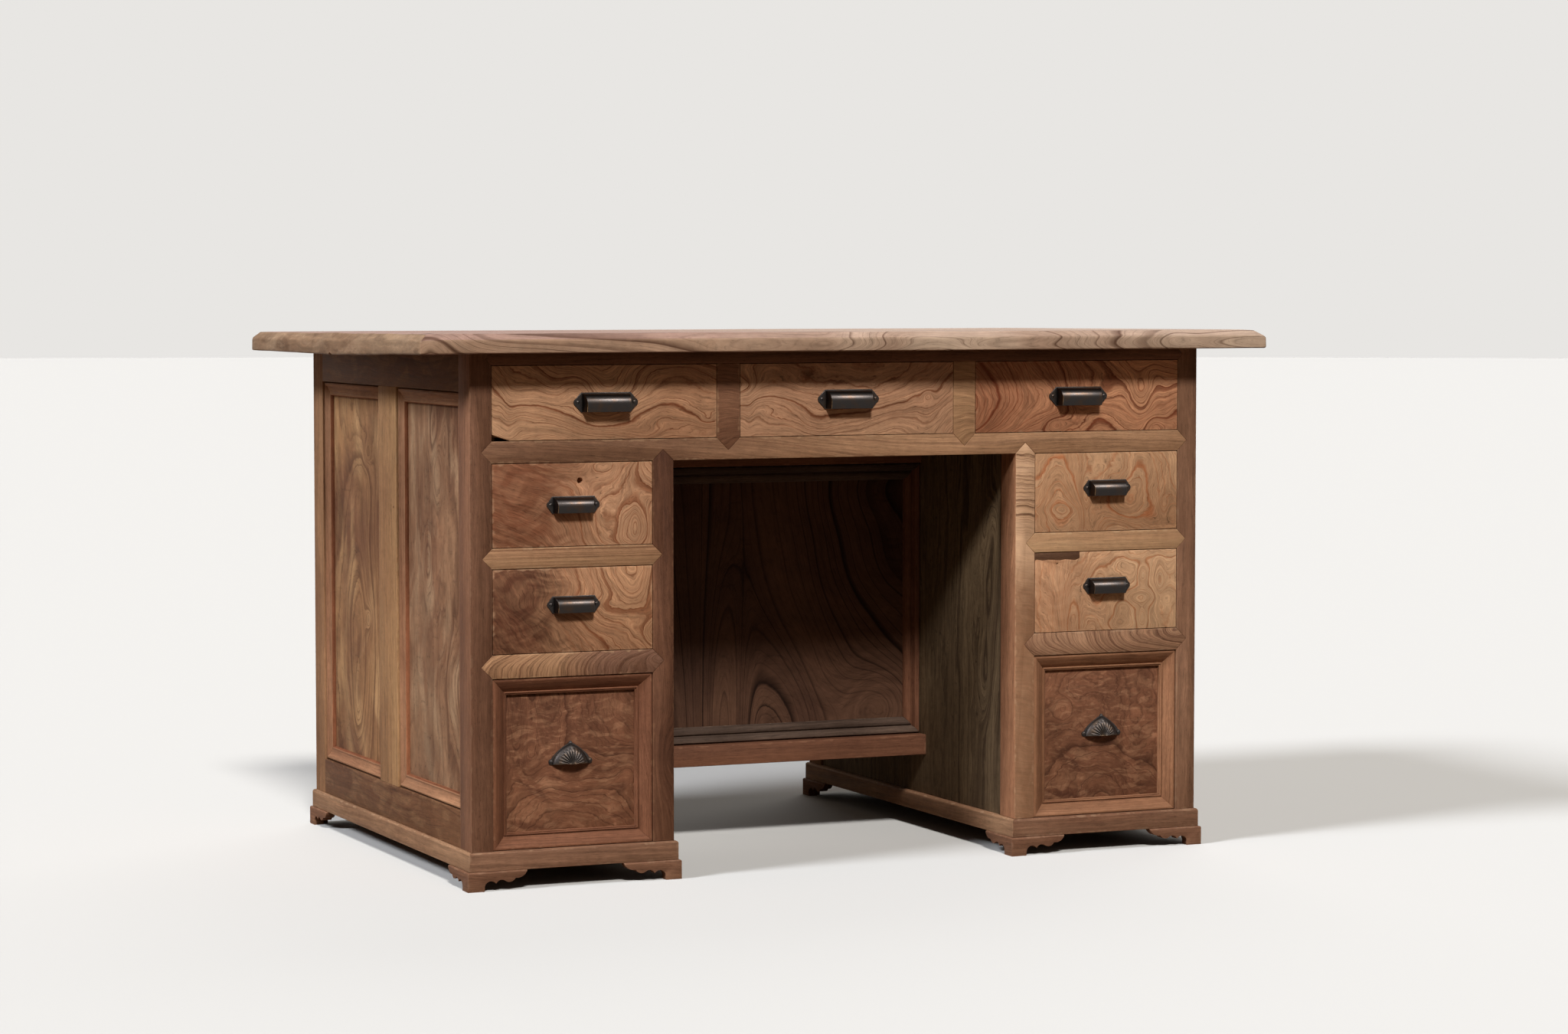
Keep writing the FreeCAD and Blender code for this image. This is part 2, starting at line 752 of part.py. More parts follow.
# Sides
side_frame = [cut_by(piece, side_panels) for piece in side_rails + [side_muntin()]]
mouldings = []
for y0, y1 in side_openings:
    mouldings += side_mouldings(y0, y1)
save("right_side_rails", side_frame)
save("right_side_panels", side_panels)
save("right_side_mouldings", mouldings)
save("left_side_rails", [mirrored(piece) for piece in side_frame])
save("left_side_panels", [mirrored(piece) for piece in side_panels])
save("left_side_mouldings", [mirrored(piece) for piece in mouldings])
inner_board = block(board_outer, board_inner, post_depth, rear_post_front, plinth_top, upper_top)
save("inner_side_boards", both_sides([inner_board]))

# Knee panel
knee_bottom_rail = block(-board_outer, board_outer, knee_rail_setback, knee_rear,
                         knee_rail_bottom, knee_rail_top)
knee_top_rail = block(-board_outer, board_outer, knee_frame_setback, knee_rear,
                      knee_top_rail_bottom, knee_top_rail_top)
knee_panel = block(-board_outer, board_outer, knee_panel_setback, knee_rear,
                   knee_rail_top - groove_depth, knee_top_rail_bottom + groove_depth)
knee_frame = moulding_frame(2 * board_outer, knee_top_rail_bottom - knee_rail_top,
                            knee_moulding_width, knee_panel_setback - knee_frame_setback,
                            knee_moulding_lip, knee_bead)
for strip in knee_frame:
    strip.translate(Vector(-board_outer, knee_frame_setback, knee_rail_top))
save("knee_rails", [knee_bottom_rail.cut(knee_panel), knee_top_rail.cut(knee_panel)])
save("knee_panel", [knee_panel])
save("knee_mouldings", knee_frame)

# Base
save("plinth_frames", both_sides(plinth_frame()))
save("bracket_feet", both_sides(pedestal_feet()))

# Inner works
runners = []
for level in (lower_bottom, upper_bottom):
    runners += [outer_runner(level), inner_runner(level)]
runners += plinth_guides() + [outer_runner(top_bottom), muntin_runner(), kicker()]
save("drawer_runners", both_sides(runners))
stops = stops_for(pedestal_centre, pedestal_opening, plinth_top, deep_front_rear)
stops += stops_for(pedestal_centre, pedestal_opening, lower_bottom, front_thickness)
stops += stops_for(pedestal_centre, pedestal_opening, upper_bottom, front_thickness)
stops += stops_for(top_drawer_centre, top_drawer_width, top_bottom, front_thickness)
middle_stops = stops_for(0, top_drawer_width, top_bottom, front_thickness)
save("drawer_stops", both_sides(stops) + middle_stops)
save("glue_blocks", glue_blocks())

# Drawers
wide_pull = box_pull(large_pull)
short_pull = box_pull(small_pull)
fan_pull = shell_pull()
for name, centre in (("left", -top_drawer_centre), ("centre", 0), ("right", top_drawer_centre)):
    save_drawer("top_drawer_" + name, centre, top_drawer_width, top_bottom, top_drawer_height,
                wide_pull, 0)
for name, side, rise in (("left", -1, 0), ("right", 1, raised_right_pull)):
    centre = side * pedestal_centre
    save_drawer(name + "_upper_drawer", centre, pedestal_opening, upper_bottom, upper_height,
                short_pull, rise)
    save_drawer(name + "_lower_drawer", centre, pedestal_opening, lower_bottom, lower_height,
                short_pull, raised_lower_pull)
    save_deep_drawer(name + "_deep_drawer", centre, fan_pull)
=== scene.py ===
import contextlib
import json
import math

import bpy
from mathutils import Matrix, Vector

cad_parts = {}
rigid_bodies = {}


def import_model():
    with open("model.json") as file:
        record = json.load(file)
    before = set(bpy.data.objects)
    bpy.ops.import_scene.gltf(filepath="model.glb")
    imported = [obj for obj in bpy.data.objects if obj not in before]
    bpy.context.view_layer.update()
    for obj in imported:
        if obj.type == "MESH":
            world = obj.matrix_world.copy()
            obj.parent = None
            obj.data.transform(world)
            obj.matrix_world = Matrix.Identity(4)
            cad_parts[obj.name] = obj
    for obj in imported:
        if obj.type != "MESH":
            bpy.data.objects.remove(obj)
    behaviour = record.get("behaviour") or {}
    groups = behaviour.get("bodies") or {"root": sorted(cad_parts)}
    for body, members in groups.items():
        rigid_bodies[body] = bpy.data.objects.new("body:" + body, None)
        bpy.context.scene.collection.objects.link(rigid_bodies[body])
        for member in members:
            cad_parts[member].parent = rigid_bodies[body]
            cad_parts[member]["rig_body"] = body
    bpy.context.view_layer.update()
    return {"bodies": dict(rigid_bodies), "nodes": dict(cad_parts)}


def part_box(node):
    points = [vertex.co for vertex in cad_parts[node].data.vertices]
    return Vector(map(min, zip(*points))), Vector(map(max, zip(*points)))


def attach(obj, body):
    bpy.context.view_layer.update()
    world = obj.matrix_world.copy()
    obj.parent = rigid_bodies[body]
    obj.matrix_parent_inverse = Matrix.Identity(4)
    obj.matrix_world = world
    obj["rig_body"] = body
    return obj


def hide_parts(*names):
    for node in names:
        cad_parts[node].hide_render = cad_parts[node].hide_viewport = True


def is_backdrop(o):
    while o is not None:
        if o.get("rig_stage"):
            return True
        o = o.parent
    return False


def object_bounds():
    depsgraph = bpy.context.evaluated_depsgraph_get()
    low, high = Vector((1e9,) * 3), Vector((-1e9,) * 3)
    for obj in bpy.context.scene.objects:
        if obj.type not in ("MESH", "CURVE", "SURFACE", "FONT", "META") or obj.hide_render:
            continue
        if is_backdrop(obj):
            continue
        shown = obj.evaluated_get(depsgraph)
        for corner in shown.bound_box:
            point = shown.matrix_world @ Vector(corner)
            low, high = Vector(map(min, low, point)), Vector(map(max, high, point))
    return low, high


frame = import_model()


# Bracket feet: two scrolled wings of elm, mitred at each corner of a plinth. They are
# sawn from the solid, sanded bare and eased along every edge, and carry the plinth.
weld = 0.00002
foot_ease = 0.0009
arris_reach = 0.004
round_below = 38
bpy.context.tool_settings.mesh_select_mode = (False, False, True)


def pick(*objects):
    bpy.ops.object.select_all(action="DESELECT")
    for thing in objects:
        thing.select_set(True)
    bpy.context.view_layer.objects.active = objects[0] if objects else None


@contextlib.contextmanager
def editing(thing, whole=True):
    """Opens a thing in edit mode, with the whole of it selected or what was picked before."""
    pick(thing)
    bpy.ops.object.mode_set(mode="EDIT")
    if whole:
        bpy.ops.mesh.select_all(action="SELECT")
    yield
    bpy.ops.object.mode_set(mode="OBJECT")


def slice_with(place, normal, **settings):
    """Cuts all of the mesh that is open in edit mode by a plane."""
    bpy.ops.mesh.select_all(action="SELECT")
    bpy.ops.mesh.bisect(plane_co=place, plane_no=normal, **settings)


def bring_in(name, data):
    """A new object in the scene that shows this mesh, lamp or camera."""
    made = bpy.data.objects.new(name, data)
    bpy.context.collection.objects.link(made)
    return made


def finish_with(thing, kind, **settings):
    modifier = thing.modifiers.new(kind.lower(), kind)
    for setting, value in settings.items():
        setattr(modifier, setting, value)
    pick(thing)
    bpy.ops.object.modifier_apply(modifier=modifier.name)


def shade_round(thing, degrees):
    pick(thing)
    bpy.ops.object.shade_smooth_by_angle(angle=math.radians(degrees))


def soften(thing, width, segments=2):
    finish_with(thing, "BEVEL", width=width, segments=segments, limit_method="ANGLE",
                angle_limit=math.radians(35), miter_outer="MITER_ARC")
    shade_round(thing, round_below)


def seat(thing, node):
    """The piece stands for this node: it rides on its body, and the node is hidden."""
    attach(thing, frame["nodes"][node]["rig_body"])
    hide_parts(node)


def boards_of(node):
    """A copy of each board in a node. A board is whole once each edge has met its partner."""
    source = frame["nodes"][node].data
    ends, lone = [0], set()
    for face in source.polygons:
        corners = [tuple(round(c / weld) for c in source.vertices[i].co) for i in face.vertices]
        for a, b in zip(corners, corners[1:] + corners[:1]):
            lone ^= {(a, b) if a < b else (b, a)}
        if not lone:
            ends.append(face.index + 1)
    boards = []
    for number, (start, end) in enumerate(zip(ends, ends[1:]), 1):
        board = bring_in(f"{node}_{number}", source.copy())
        others = [not start <= i < end for i in range(len(source.polygons))]
        board.data.polygons.foreach_set("select", others)
        with editing(board, whole=False):
            bpy.ops.mesh.delete(type="FACE")
            bpy.ops.mesh.select_all(action="SELECT")
            bpy.ops.mesh.remove_doubles(threshold=weld)
            bpy.ops.mesh.dissolve_limited(angle_limit=math.radians(1))
        boards.append(board)
    return boards


def eased_boards(node, ease):
    """The boards of a node with their sharp edges eased."""
    boards = boards_of(node)
    for board in boards:
        soften(board, ease)
        seat(board, node)
    return boards


def long_side(thing):
    """The axis that a board's grain follows: its longest side."""
    size = thing.dimensions
    return max("xyz", key=lambda axis: size["xyz".index(axis)])


def colour(red, green, blue):
    """An sRGB colour in 0 to 255 as the renderer's own numbers."""
    share = [c / 255 for c in (red, green, blue)]
    return [((c + 0.055) / 1.055) ** 2.4 if c > 0.04045 else c / 12.92 for c in share] + [1.0]


def add(tree, kind, inputs=None, **settings):
    """A shader node with its settings, and its inputs set or linked by name or number."""
    node = tree.nodes.new("ShaderNode" + kind)
    for setting, value in settings.items():
        setattr(node, setting, value)
    for key, value in (inputs or {}).items():
        if isinstance(value, bpy.types.NodeSocket):
            tree.links.new(value, node.inputs[key])
        else:
            node.inputs[key].default_value = value
    return node


def new_material(name):
    material = bpy.data.materials.new(name)
    material.use_nodes = True
    return material, material.node_tree, material.node_tree.nodes["Principled BSDF"].inputs


def placed(tree, group, inputs):
    return add(tree, "Group", inputs, node_tree=group).outputs


def maths(tree, operation, first, second=0.0, clamp=False):
    return add(tree, "Math", {0: first, 1: second}, operation=operation, use_clamp=clamp).outputs[0]


def plus(tree, first, second):
    return maths(tree, "ADD", first, second)


def less(tree, first, second):
    return maths(tree, "SUBTRACT", first, second)


def times(tree, product, *others):
    for other in others:
        product = maths(tree, "MULTIPLY", product, other)
    return product


def vectors(tree, operation, *given, out=0):
    return add(tree, "VectorMath", dict(enumerate(given)), operation=operation).outputs[out]


def stretched(tree, vector, by):
    return vectors(tree, "MULTIPLY", vector, (by, by, by) if isinstance(by, float) else by)


def spread(tree, value, low, high, to_low=0.0, to_high=1.0, kind="SMOOTHSTEP"):
    """Carries a value between two limits over to a new range."""
    inputs = {"Value": value, "From Min": low, "From Max": high, "To Min": to_low, "To Max": to_high}
    return add(tree, "MapRange", inputs, interpolation_type=kind).outputs["Result"]


def mixed(tree, factor, first, second, how="MIX"):
    inputs = {0: factor, 6: first, 7: second}
    return add(tree, "Mix", inputs, data_type="RGBA", blend_type=how).outputs[2]


def noise(tree, vector, scale, detail, rough=0.5):
    inputs = {"Vector": vector, "Scale": scale, "Detail": detail, "Roughness": rough}
    return add(tree, "TexNoise", inputs).outputs["Fac"]


def drift(tree, value, scale):
    """A slow noise along one number."""
    inputs = {"W": value, "Scale": scale, "Detail": 1.0}
    return add(tree, "TexNoise", inputs, noise_dimensions="1D").outputs["Fac"]


def new_group(name, vectors_in, numbers_in, numbers_out):
    """An empty node group. Its sockets are given as three lists of names."""
    group = bpy.data.node_groups.new(name, "ShaderNodeTree")
    for names, way, kind in ((vectors_in, "INPUT", "Vector"), (numbers_in, "INPUT", "Float"),
                             (numbers_out, "OUTPUT", "Float")):
        for socket in names.split():
            group.interface.new_socket(socket, in_out=way, socket_type="NodeSocket" + kind)
    return group, group.nodes.new("NodeGroupInput").outputs, group.nodes.new("NodeGroupOutput").inputs


def bend_group():
    """A slow wander of the growth rings: noise stretched along the grain."""
    group, given, out = new_group("ring_bend", "Vector Stretch", "Amount", "Value")
    wander = noise(group, stretched(group, given["Vector"], given["Stretch"]), 1.0, 1.0, 0.55)
    group.links.new(times(group, less(group, wander, 0.5), 2.0, given["Amount"]), out["Value"])
    return group


def swell_group():
    """A hill in the wood, such as a bud or a knot, round which the rings close in ovals. The
    second output is for rings that lie round the heart of the tree."""
    group, given, out = new_group("ring_swell", "Vector Centre Size", "Height", "Hill Heart")
    away = vectors(group, "SUBTRACT", given["Vector"], given["Centre"])
    away = vectors(group, "DIVIDE", away, given["Size"])
    square = vectors(group, "DOT_PRODUCT", away, away, out="Value")
    fall = maths(group, "EXPONENT", times(group, square, -1.0))
    group.links.new(times(group, fall, given["Height"]), out["Hill"])
    group.links.new(times(group, vectors(group, "LENGTH", away, out="Value"), given["Height"]), out["Heart"])
    return group


def ring_group():
    """Turns the ring field into lines, each dark at its late edge, and a slow change of tone."""
    group, given, out = new_group("growth_rings", "", "Field Fade Edge Between", "Line Tone")
    field = plus(group, given["Field"], times(group, drift(group, given["Field"], 0.55), 2.2))
    late = less(group, 1.0, given["Edge"])
    early = less(group, 1.0, given["Fade"])
    total = None
    for often, weight in ((1.0, 1.0), (2.6, 0.5), (6.3, 0.26)):
        turn = times(group, field, often)
        phase = maths(group, "FRACT", turn)
        chance = add(group, "TexWhiteNoise", {"W": maths(group, "FLOOR", turn)},
                     noise_dimensions="1D").outputs["Value"]
        rise = maths(group, "POWER", spread(group, phase, early, late, kind="LINEAR"), 1.5)
        mark = times(group, rise, spread(group, phase, late, 1.0, 1.0, 0.0),
                     spread(group, chance, 0.0, 1.0, 0.5 * weight, weight, "LINEAR"))
        total = maths(group, "MAXIMUM", total, times(group, mark, given["Between"])) if total else mark
    group.links.new(total, out["Line"])
    group.links.new(spread(group, drift(group, field, 0.31), 0.3, 0.7), out["Tone"])
    return group


def fibre_group():
    """Fine fibres and open pores. They run along the growth rings, so the ring field is one
    of the directions they are measured in."""
    group, given, out = new_group("fibres", "Vector", "Field", "Fibre Pores Band")
    along, into, across = add(group, "SeparateXYZ", {0: given["Vector"]}).outputs
    made = []
    for long_way, deep_way, rings, side_way, detail in ((30, 600, 6.5, 130, 3.0), (130, 1100, 11.0, 260, 1.0),
                                                     (7, 90, 1.3, 55, 2.0)):
        side = plus(group, times(group, given["Field"], rings), times(group, across, side_way))
        spot = {0: times(group, along, long_way), 1: times(group, into, deep_way), 2: side}
        made.append(noise(group, add(group, "CombineXYZ", spot).outputs[0], 1.0, detail, 0.6))
    group.links.new(made[0], out["Fibre"])
    group.links.new(spread(group, made[1], 0.60, 0.74), out["Pores"])
    group.links.new(made[2], out["Band"])
    return group


def handling_group():
    """What years and sandpaper leave: clouds of tone, small mottling and paler arrises. An
    arris is near where two sides of the board's own box are near."""
    group, given, out = new_group("handling", "Vector Low High", "", "Cloud Mottle Arris")
    mottle = noise(group, given["Vector"], 90.0, 3.0)
    near = vectors(group, "MINIMUM", vectors(group, "SUBTRACT", given["Vector"], given["Low"]),
                   vectors(group, "SUBTRACT", given["High"], given["Vector"]))
    x, y, z = add(group, "SeparateXYZ", {0: near}).outputs
    second = maths(group, "MAXIMUM", maths(group, "MINIMUM", x, y),
                   maths(group, "MINIMUM", maths(group, "MAXIMUM", x, y), z))
    ragged = plus(group, second, spread(group, mottle, 0.35, 0.65, -0.001, 0.005, "LINEAR"))
    group.links.new(spread(group, noise(group, given["Vector"], 6.0, 3.0), 0.32, 0.68), out["Cloud"])
    group.links.new(mottle, out["Mottle"])
    group.links.new(spread(group, ragged, 0.0, arris_reach, 1.0, 0.0), out["Arris"])
    return group


def curl_group():
    """Rippled, burled wood: short streaks where the fibres dive in and out. Mixed into a colour as streaks,
    they paint the sheen that such wood shows in the light.
    """
    group, given, out = new_group("curl", "Vector", "Size Twist", "Streak")
    scaled = stretched(group, given["Vector"], given["Size"])
    turn = add(group, "TexNoise", {"Vector": scaled, "Scale": 0.45, "Detail": 1.0}).outputs["Color"]
    turned = vectors(group, "ADD", scaled, stretched(group, turn, given["Twist"]))
    ripple = noise(group, stretched(group, turned, (1.0, 1.0, 3.4)), 1.0, 2.5, 0.55)
    group.links.new(ripple, out["Streak"])
    return group


ring_bend, ring_swell, growth_rings = bend_group(), swell_group(), ring_group()
fibres, handling, curl = fibre_group(), handling_group(), curl_group()


def elm(name, lay, pale, deep, line, slope=(0, 20, 70), pith=None, swells=(), swell_depth=0.0, unlike=True,
        bends=((2, 9, 1.6), (14, 40, 0.35)), jag=0.10, ink=0.9, fade=0.36, edge=0.1, between=0.8, cloud=0.5,
        fibre=0.3, band=0.22, streaks=(), smoke=None, ink_range=None, worn=None, rough=0.62, relief=0.0004,
        boxed=True):
    """Bare elm. lay names the axes that run along, into and across the board, and the figure is
    placed from the board's centre in that order. slope is rings to the metre in each direction.
    A swell is a place along and across, a size along and across, and a height in rings. A smoke
    is where a dark stain begins and ends along the board, its colour and how much it hides."""
    material, tree, surface = new_material(name)

    def swing(value, low, high):
        return spread(tree, value, 0.3, 0.7, low, high, "LINEAR")
    pale, deep, line, worn = [colour(*tone) for tone in (pale, deep, line, worn or pale)]
    spot = place = add(tree, "TexCoord").outputs["Object"]
    low = add(tree, "Attribute", attribute_name="low_corner").outputs["Vector"]
    high = add(tree, "Attribute", attribute_name="high_corner").outputs["Vector"]
    if boxed:
        middle = {"Vector": spot, "Location": stretched(tree, vectors(tree, "ADD", low, high), 0.5)}
        place = add(tree, "Mapping", middle, vector_type="TEXTURE").outputs[0]
    axes = add(tree, "SeparateXYZ", {0: place}).outputs
    laid = [axes["xyz".index(axis)] for axis in lay]
    place = wild = add(tree, "CombineXYZ", dict(enumerate(laid))).outputs[0]
    if unlike and boxed:
        lot = add(tree, "TexWhiteNoise", {"Vector": low}, noise_dimensions="3D").outputs["Color"]
        wild = vectors(tree, "MULTIPLY_ADD", lot, (3, 3, 3), place)
    field = vectors(tree, "DOT_PRODUCT", place, slope, out="Value")
    for along, across, amount in (*bends, (140, 260, jag)):
        bend = {"Vector": wild, "Stretch": (along, across, across), "Amount": amount}
        field = plus(tree, field, placed(tree, ring_bend, bend)[0])
    for along, across, long_size, wide_size, height in swells:
        swell = {"Vector": place, "Centre": (along / 1000, swell_depth, across / 1000),
                 "Size": (long_size / 1000, 0.2, wide_size / 1000), "Height": height}
        field = plus(tree, field, placed(tree, ring_swell, swell)["Hill"])
    if pith:
        heart = {"Vector": place, "Centre": pith[0], "Size": (1, 1, 1), "Height": pith[1]}
        field = plus(tree, field, placed(tree, ring_swell, heart)["Heart"])
    rings = placed(tree, growth_rings, {"Field": field, "Fade": fade, "Edge": edge, "Between": between})
    grain = placed(tree, fibres, {"Vector": wild, "Field": field})
    years = placed(tree, handling, {"Vector": spot, "Low": low, "High": high})
    tone, mark = rings["Tone"], times(tree, rings["Line"], ink)
    if ink_range:
        figured = times(tree, spread(tree, laid[0], *ink_range[:2], 0.1, 1.0),
                        spread(tree, laid[0], *ink_range[2:], 1.0, 0.1))
        tone, mark = times(tree, tone, figured), times(tree, mark, figured)
    tone = maths(tree, "ADD", times(tree, tone, 1.0 - cloud), times(tree, years["Cloud"], cloud), clamp=True)
    shade = mixed(tree, tone, pale, deep)
    if smoke:
        begin, end, dark, hide = smoke
        veil = placed(tree, curl, {"Vector": wild, "Size": 30.0, "Twist": 2.4})[0]
        veil = spread(tree, veil, 0.3, 0.75)
        reach = spread(tree, plus(tree, laid[0], times(tree, veil, 0.02)), begin, end)
        smoked = times(tree, reach, spread(tree, veil, 0.0, 1.0, 1.0, 0.84))
        shade = mixed(tree, smoked, shade, colour(*dark))
        mark = times(tree, mark, spread(tree, reach, 0.0, 1.0, 1.0, 1.0 - hide, "LINEAR"))
    # Streaks are a painted sheen: bright and dark ripples mixed into the colour, as rippled grain shimmers in
    # the light.
    for size, low_cut, high_cut, share, bright in streaks:
        ripple = placed(tree, curl, {"Vector": wild, "Size": size, "Twist": 1.6})[0]
        ripple = times(tree, spread(tree, ripple, low_cut, high_cut), share)
        shade = mixed(tree, ripple, shade, colour(*bright))
    shade = mixed(tree, mark, shade, line)
    light = times(tree, swing(grain["Fibre"], 1.0 - fibre, 1.0 + fibre * 0.9),
                  swing(years["Mottle"], 0.93, 1.07), swing(grain["Band"], 1.0 - band, 1.0 + band))
    light = less(tree, light, times(tree, grain["Pores"], fibre * 1.3))
    shade = mixed(tree, 1.0, shade, light, "MULTIPLY")
    if boxed:
        shade = mixed(tree, times(tree, years["Arris"], 0.34), shade, worn)
    rise = less(tree, times(tree, grain["Fibre"], 0.5), times(tree, mark, 0.55))
    rise = less(tree, rise, times(tree, grain["Pores"], 0.4))
    bump = add(tree, "Bump", {"Height": rise, "Strength": 0.7, "Distance": relief})
    tree.links.new(shade, surface["Base Color"])
    tree.links.new(swing(grain["Fibre"], rough - 0.05, rough + 0.07), surface["Roughness"])
    tree.links.new(bump.outputs[0], surface["Normal"])
    surface["Specular IOR Level"].default_value = 0.03
    return material


def every_way(name, *tones, lays=("xyz", "yxz", "zyx"), **figure):
    """The same wood laid along each axis, for frames whose boards run more than one way."""
    return {lay[0]: elm(f"{name}_{lay[0]}", lay, *tones, **figure) for lay in lays}


def dress(boards, woods):
    """Gives each board its wood and writes its box on it, from which its figure is placed."""
    for board in boards:
        mesh = board.data
        mesh.materials.clear()
        mesh.materials.append(woods[long_side(board)] if isinstance(woods, dict) else woods)
        for name, choose in (("low_corner", min), ("high_corner", max)):
            corner = [choose(vertex.co[i] for vertex in mesh.vertices) for i in range(3)]
            mark = mesh.attributes.new(name, "FLOAT_VECTOR", "POINT")
            mark.data.foreach_set("vector", corner * len(mesh.vertices))


foot_woods = every_way("foot_wood", (126, 91, 69), (102, 69, 51), (79, 50, 36),
                       slope=(6, 60, 150), bends=((5, 22, 1.2), (30, 90, 0.3)), ink=0.5, worn=(148, 114, 90))
dress(eased_boards("bracket_feet", foot_ease), foot_woods)


# Plinth frames: four boards mitred at the corners under each pedestal, with the upper
# outer edge rounded by hand. They stand a little proud of the posts.
plinth_ease = 0.0008
plinth_figure = {"slope": (2, 40, 90), "bends": ((2.5, 16, 1.5), (12, 60, 0.35)), "ink": 0.6, "cloud": 0.7,
                 "band": 0.3}
plinth_woods = every_way("plinth_wood", (133, 98, 75), (100, 68, 50), (78, 48, 35),
                         worn=(162, 130, 102), **plinth_figure)
plinth_woods["y"] = elm("plinth_side_wood", "yxz", (152, 117, 88), (117, 84, 62),
                        (88, 58, 41), worn=(178, 145, 114), **plinth_figure)
dress(eased_boards("plinth_frames", plinth_ease), plinth_woods)


# Front posts: square elm posts that run from the plinth to the top rail. The inner
# posts end in a pointed tip let over the apron, and the drawer rails are tenoned in.
post_ease = 0.001
straight_grain = {"slope": (0, 60, 60), "bends": ((1.5, 18, 1.4), (12, 70, 0.3)), "ink": 0.45}


def post(node, *tones, **figure):
    boards = eased_boards(node, post_ease)
    dress(boards, elm(node + "_wood", "zyx", *tones, **figure))
    return boards


def lit_flank_woods(boards, lit_flank_wood):
    """A second, paler wood on the sides of a board than on its face: painted light on sides that face the
    lamps from the left.
    """
    for board in boards:
        board.data.materials.append(lit_flank_wood)
        for face in board.data.polygons:
            face.material_index = 1 if abs(face.normal.x) > 0.9 else 0


outer = post("front_post_left_outer", (108, 75, 56), (87, 57, 41), (69, 42, 30),
             worn=(131, 99, 76), **straight_grain)
# Its sides are painted lighter than its face: painted light.
lit_flank_woods(outer, elm("front_post_left_outer_lit_flank_wood", "zxy", (124, 87, 65), (100, 67, 49),
                     (79, 50, 36), worn=(150, 114, 88), **straight_grain))
post("front_post_left_inner", (103, 69, 50), (76, 48, 34), (55, 33, 23),
     slope=(4, 40, 70), bends=((2.2, 20, 2.0), (14, 60, 0.3)), ink=0.6, worn=(131, 94, 68),
     swells=((-160, 6, 50, 20, 2.2),))
post("front_post_right_outer", (123, 89, 67), (100, 69, 51), (78, 50, 36),
     worn=(146, 116, 89), **straight_grain)
banded = post("front_post_right_inner", (198, 159, 125), (176, 136, 102), (77, 44, 27),
              slope=(165, 10, 20), bends=((5, 14, 1.2), (40, 45, 0.6)), jag=0.03, ink=1.25, fade=0.5,
              edge=0.14, between=0.35, fibre=0.12, band=0.1, ink_range=(0.13, 0.18, 0.262, 0.27),
              smoke=(0.16, 0.04, (137, 99, 72), 0.0), worn=(192, 152, 117))
# The side towards the knee hole is painted lighter, on a plainer figure: painted light.
lit_flank_woods(banded, elm("front_post_right_inner_lit_flank_wood", "zxy", (167, 118, 86), (139, 94, 67),
                      (98, 60, 42), slope=(4, 60, 60), bends=((2, 18, 1.4), (14, 70, 0.3)), ink=0.5,
                      worn=(186, 142, 108)))


# Rails of the front. The apron and the top rail run the whole width, and two drawer
# rails cross each pedestal. Their mitred tips lap over the posts and end in a point.
rail_ease = 0.0009


def rail(node, *tones, **figure):
    dress(eased_boards(node, rail_ease), elm(node + "_wood", "xyz", *tones, **figure))


rail("front_top_rail", (112, 77, 57), (88, 59, 43), (70, 44, 32), ink=0.5)
rail("apron_rail", (168, 128, 95), (143, 106, 76), (100, 68, 49),
     slope=(12, 30, 190), swells=((100, 0, 300, 2000, 5),), bends=((2.5, 20, 2.2), (14, 50, 0.5)), ink=0.6,
     fade=0.6, smoke=(0.22, -0.40, (111, 79, 59), 0.0), cloud=0.7, worn=(175, 140, 107))
rail("left_upper_rail", (161, 123, 90), (145, 106, 77), (96, 63, 43),
     slope=(0, 40, 215), bends=((2.2, 6, 0.6), (16, 40, 0.1)), ink=1.0, fade=0.5, edge=0.22,
     worn=(181, 148, 114))
rail("right_upper_rail", (177, 140, 103), (154, 116, 84), (127, 88, 61),
     slope=(0, 40, 150), bends=((2.2, 8, 1.2), (16, 40, 0.2)), ink=0.4, worn=(191, 158, 121))
rail("left_lower_rail", (169, 129, 95), (149, 110, 79), (87, 56, 40),
     slope=(105, 10, 0), swells=((0, 30, 2000, 20, -6), (60, 0, 80, 2000, 6), (128, 5, 14, 8, 3)),
     bends=((9, 22, 1.1), (60, 60, 0.25)), ink=1.0, fade=0.55, edge=0.22,
     smoke=(-0.03, 0.06, (121, 87, 69), 0.0), worn=(191, 154, 118))
rail("right_lower_rail", (153, 116, 88), (131, 95, 71), (80, 50, 36),
     slope=(100, 10, 0), swells=((0, -30, 2000, 20, -6), (30, 0, 70, 2000, 6), (-100, 0, 35, 2000, 2),
                                 (115, 15, 22, 14, 4)),
     bends=((9, 22, 1.0), (60, 60, 0.25)), ink=1.0, fade=0.55, edge=0.22, worn=(171, 138, 109))


# Muntins between the top drawers: short posts with a pointed foot let into the apron.
muntin_tones = {"top_muntin_left": ((132, 93, 69), (108, 73, 53), (82, 53, 38)),
                "top_muntin_right": ((174, 136, 99), (145, 107, 77), (108, 74, 51))}
for node, tones in muntin_tones.items():
    muntin_wood = elm(node + "_wood", "zyx", *tones, slope=(60, 20, 40), pith=((-0.06, 0.0, 0.03), 130),
                      bends=((8, 20, 0.8), (30, 60, 0.2)), ink=0.6, worn=(180, 142, 107))
    dress(eased_boards(node, rail_ease), muntin_wood)


# Side frames: dark rails and a paler muntin tenoned together, with a flat panel of wild
# grain in each opening. A pin hole is left in the muntin of the left side.
side_ease = 0.0008


def basic(form, name, **settings):
    """A basic form, made alone by one of the mesh operators."""
    pick()
    form(**settings)
    made = bpy.context.object
    made.name = name
    return made


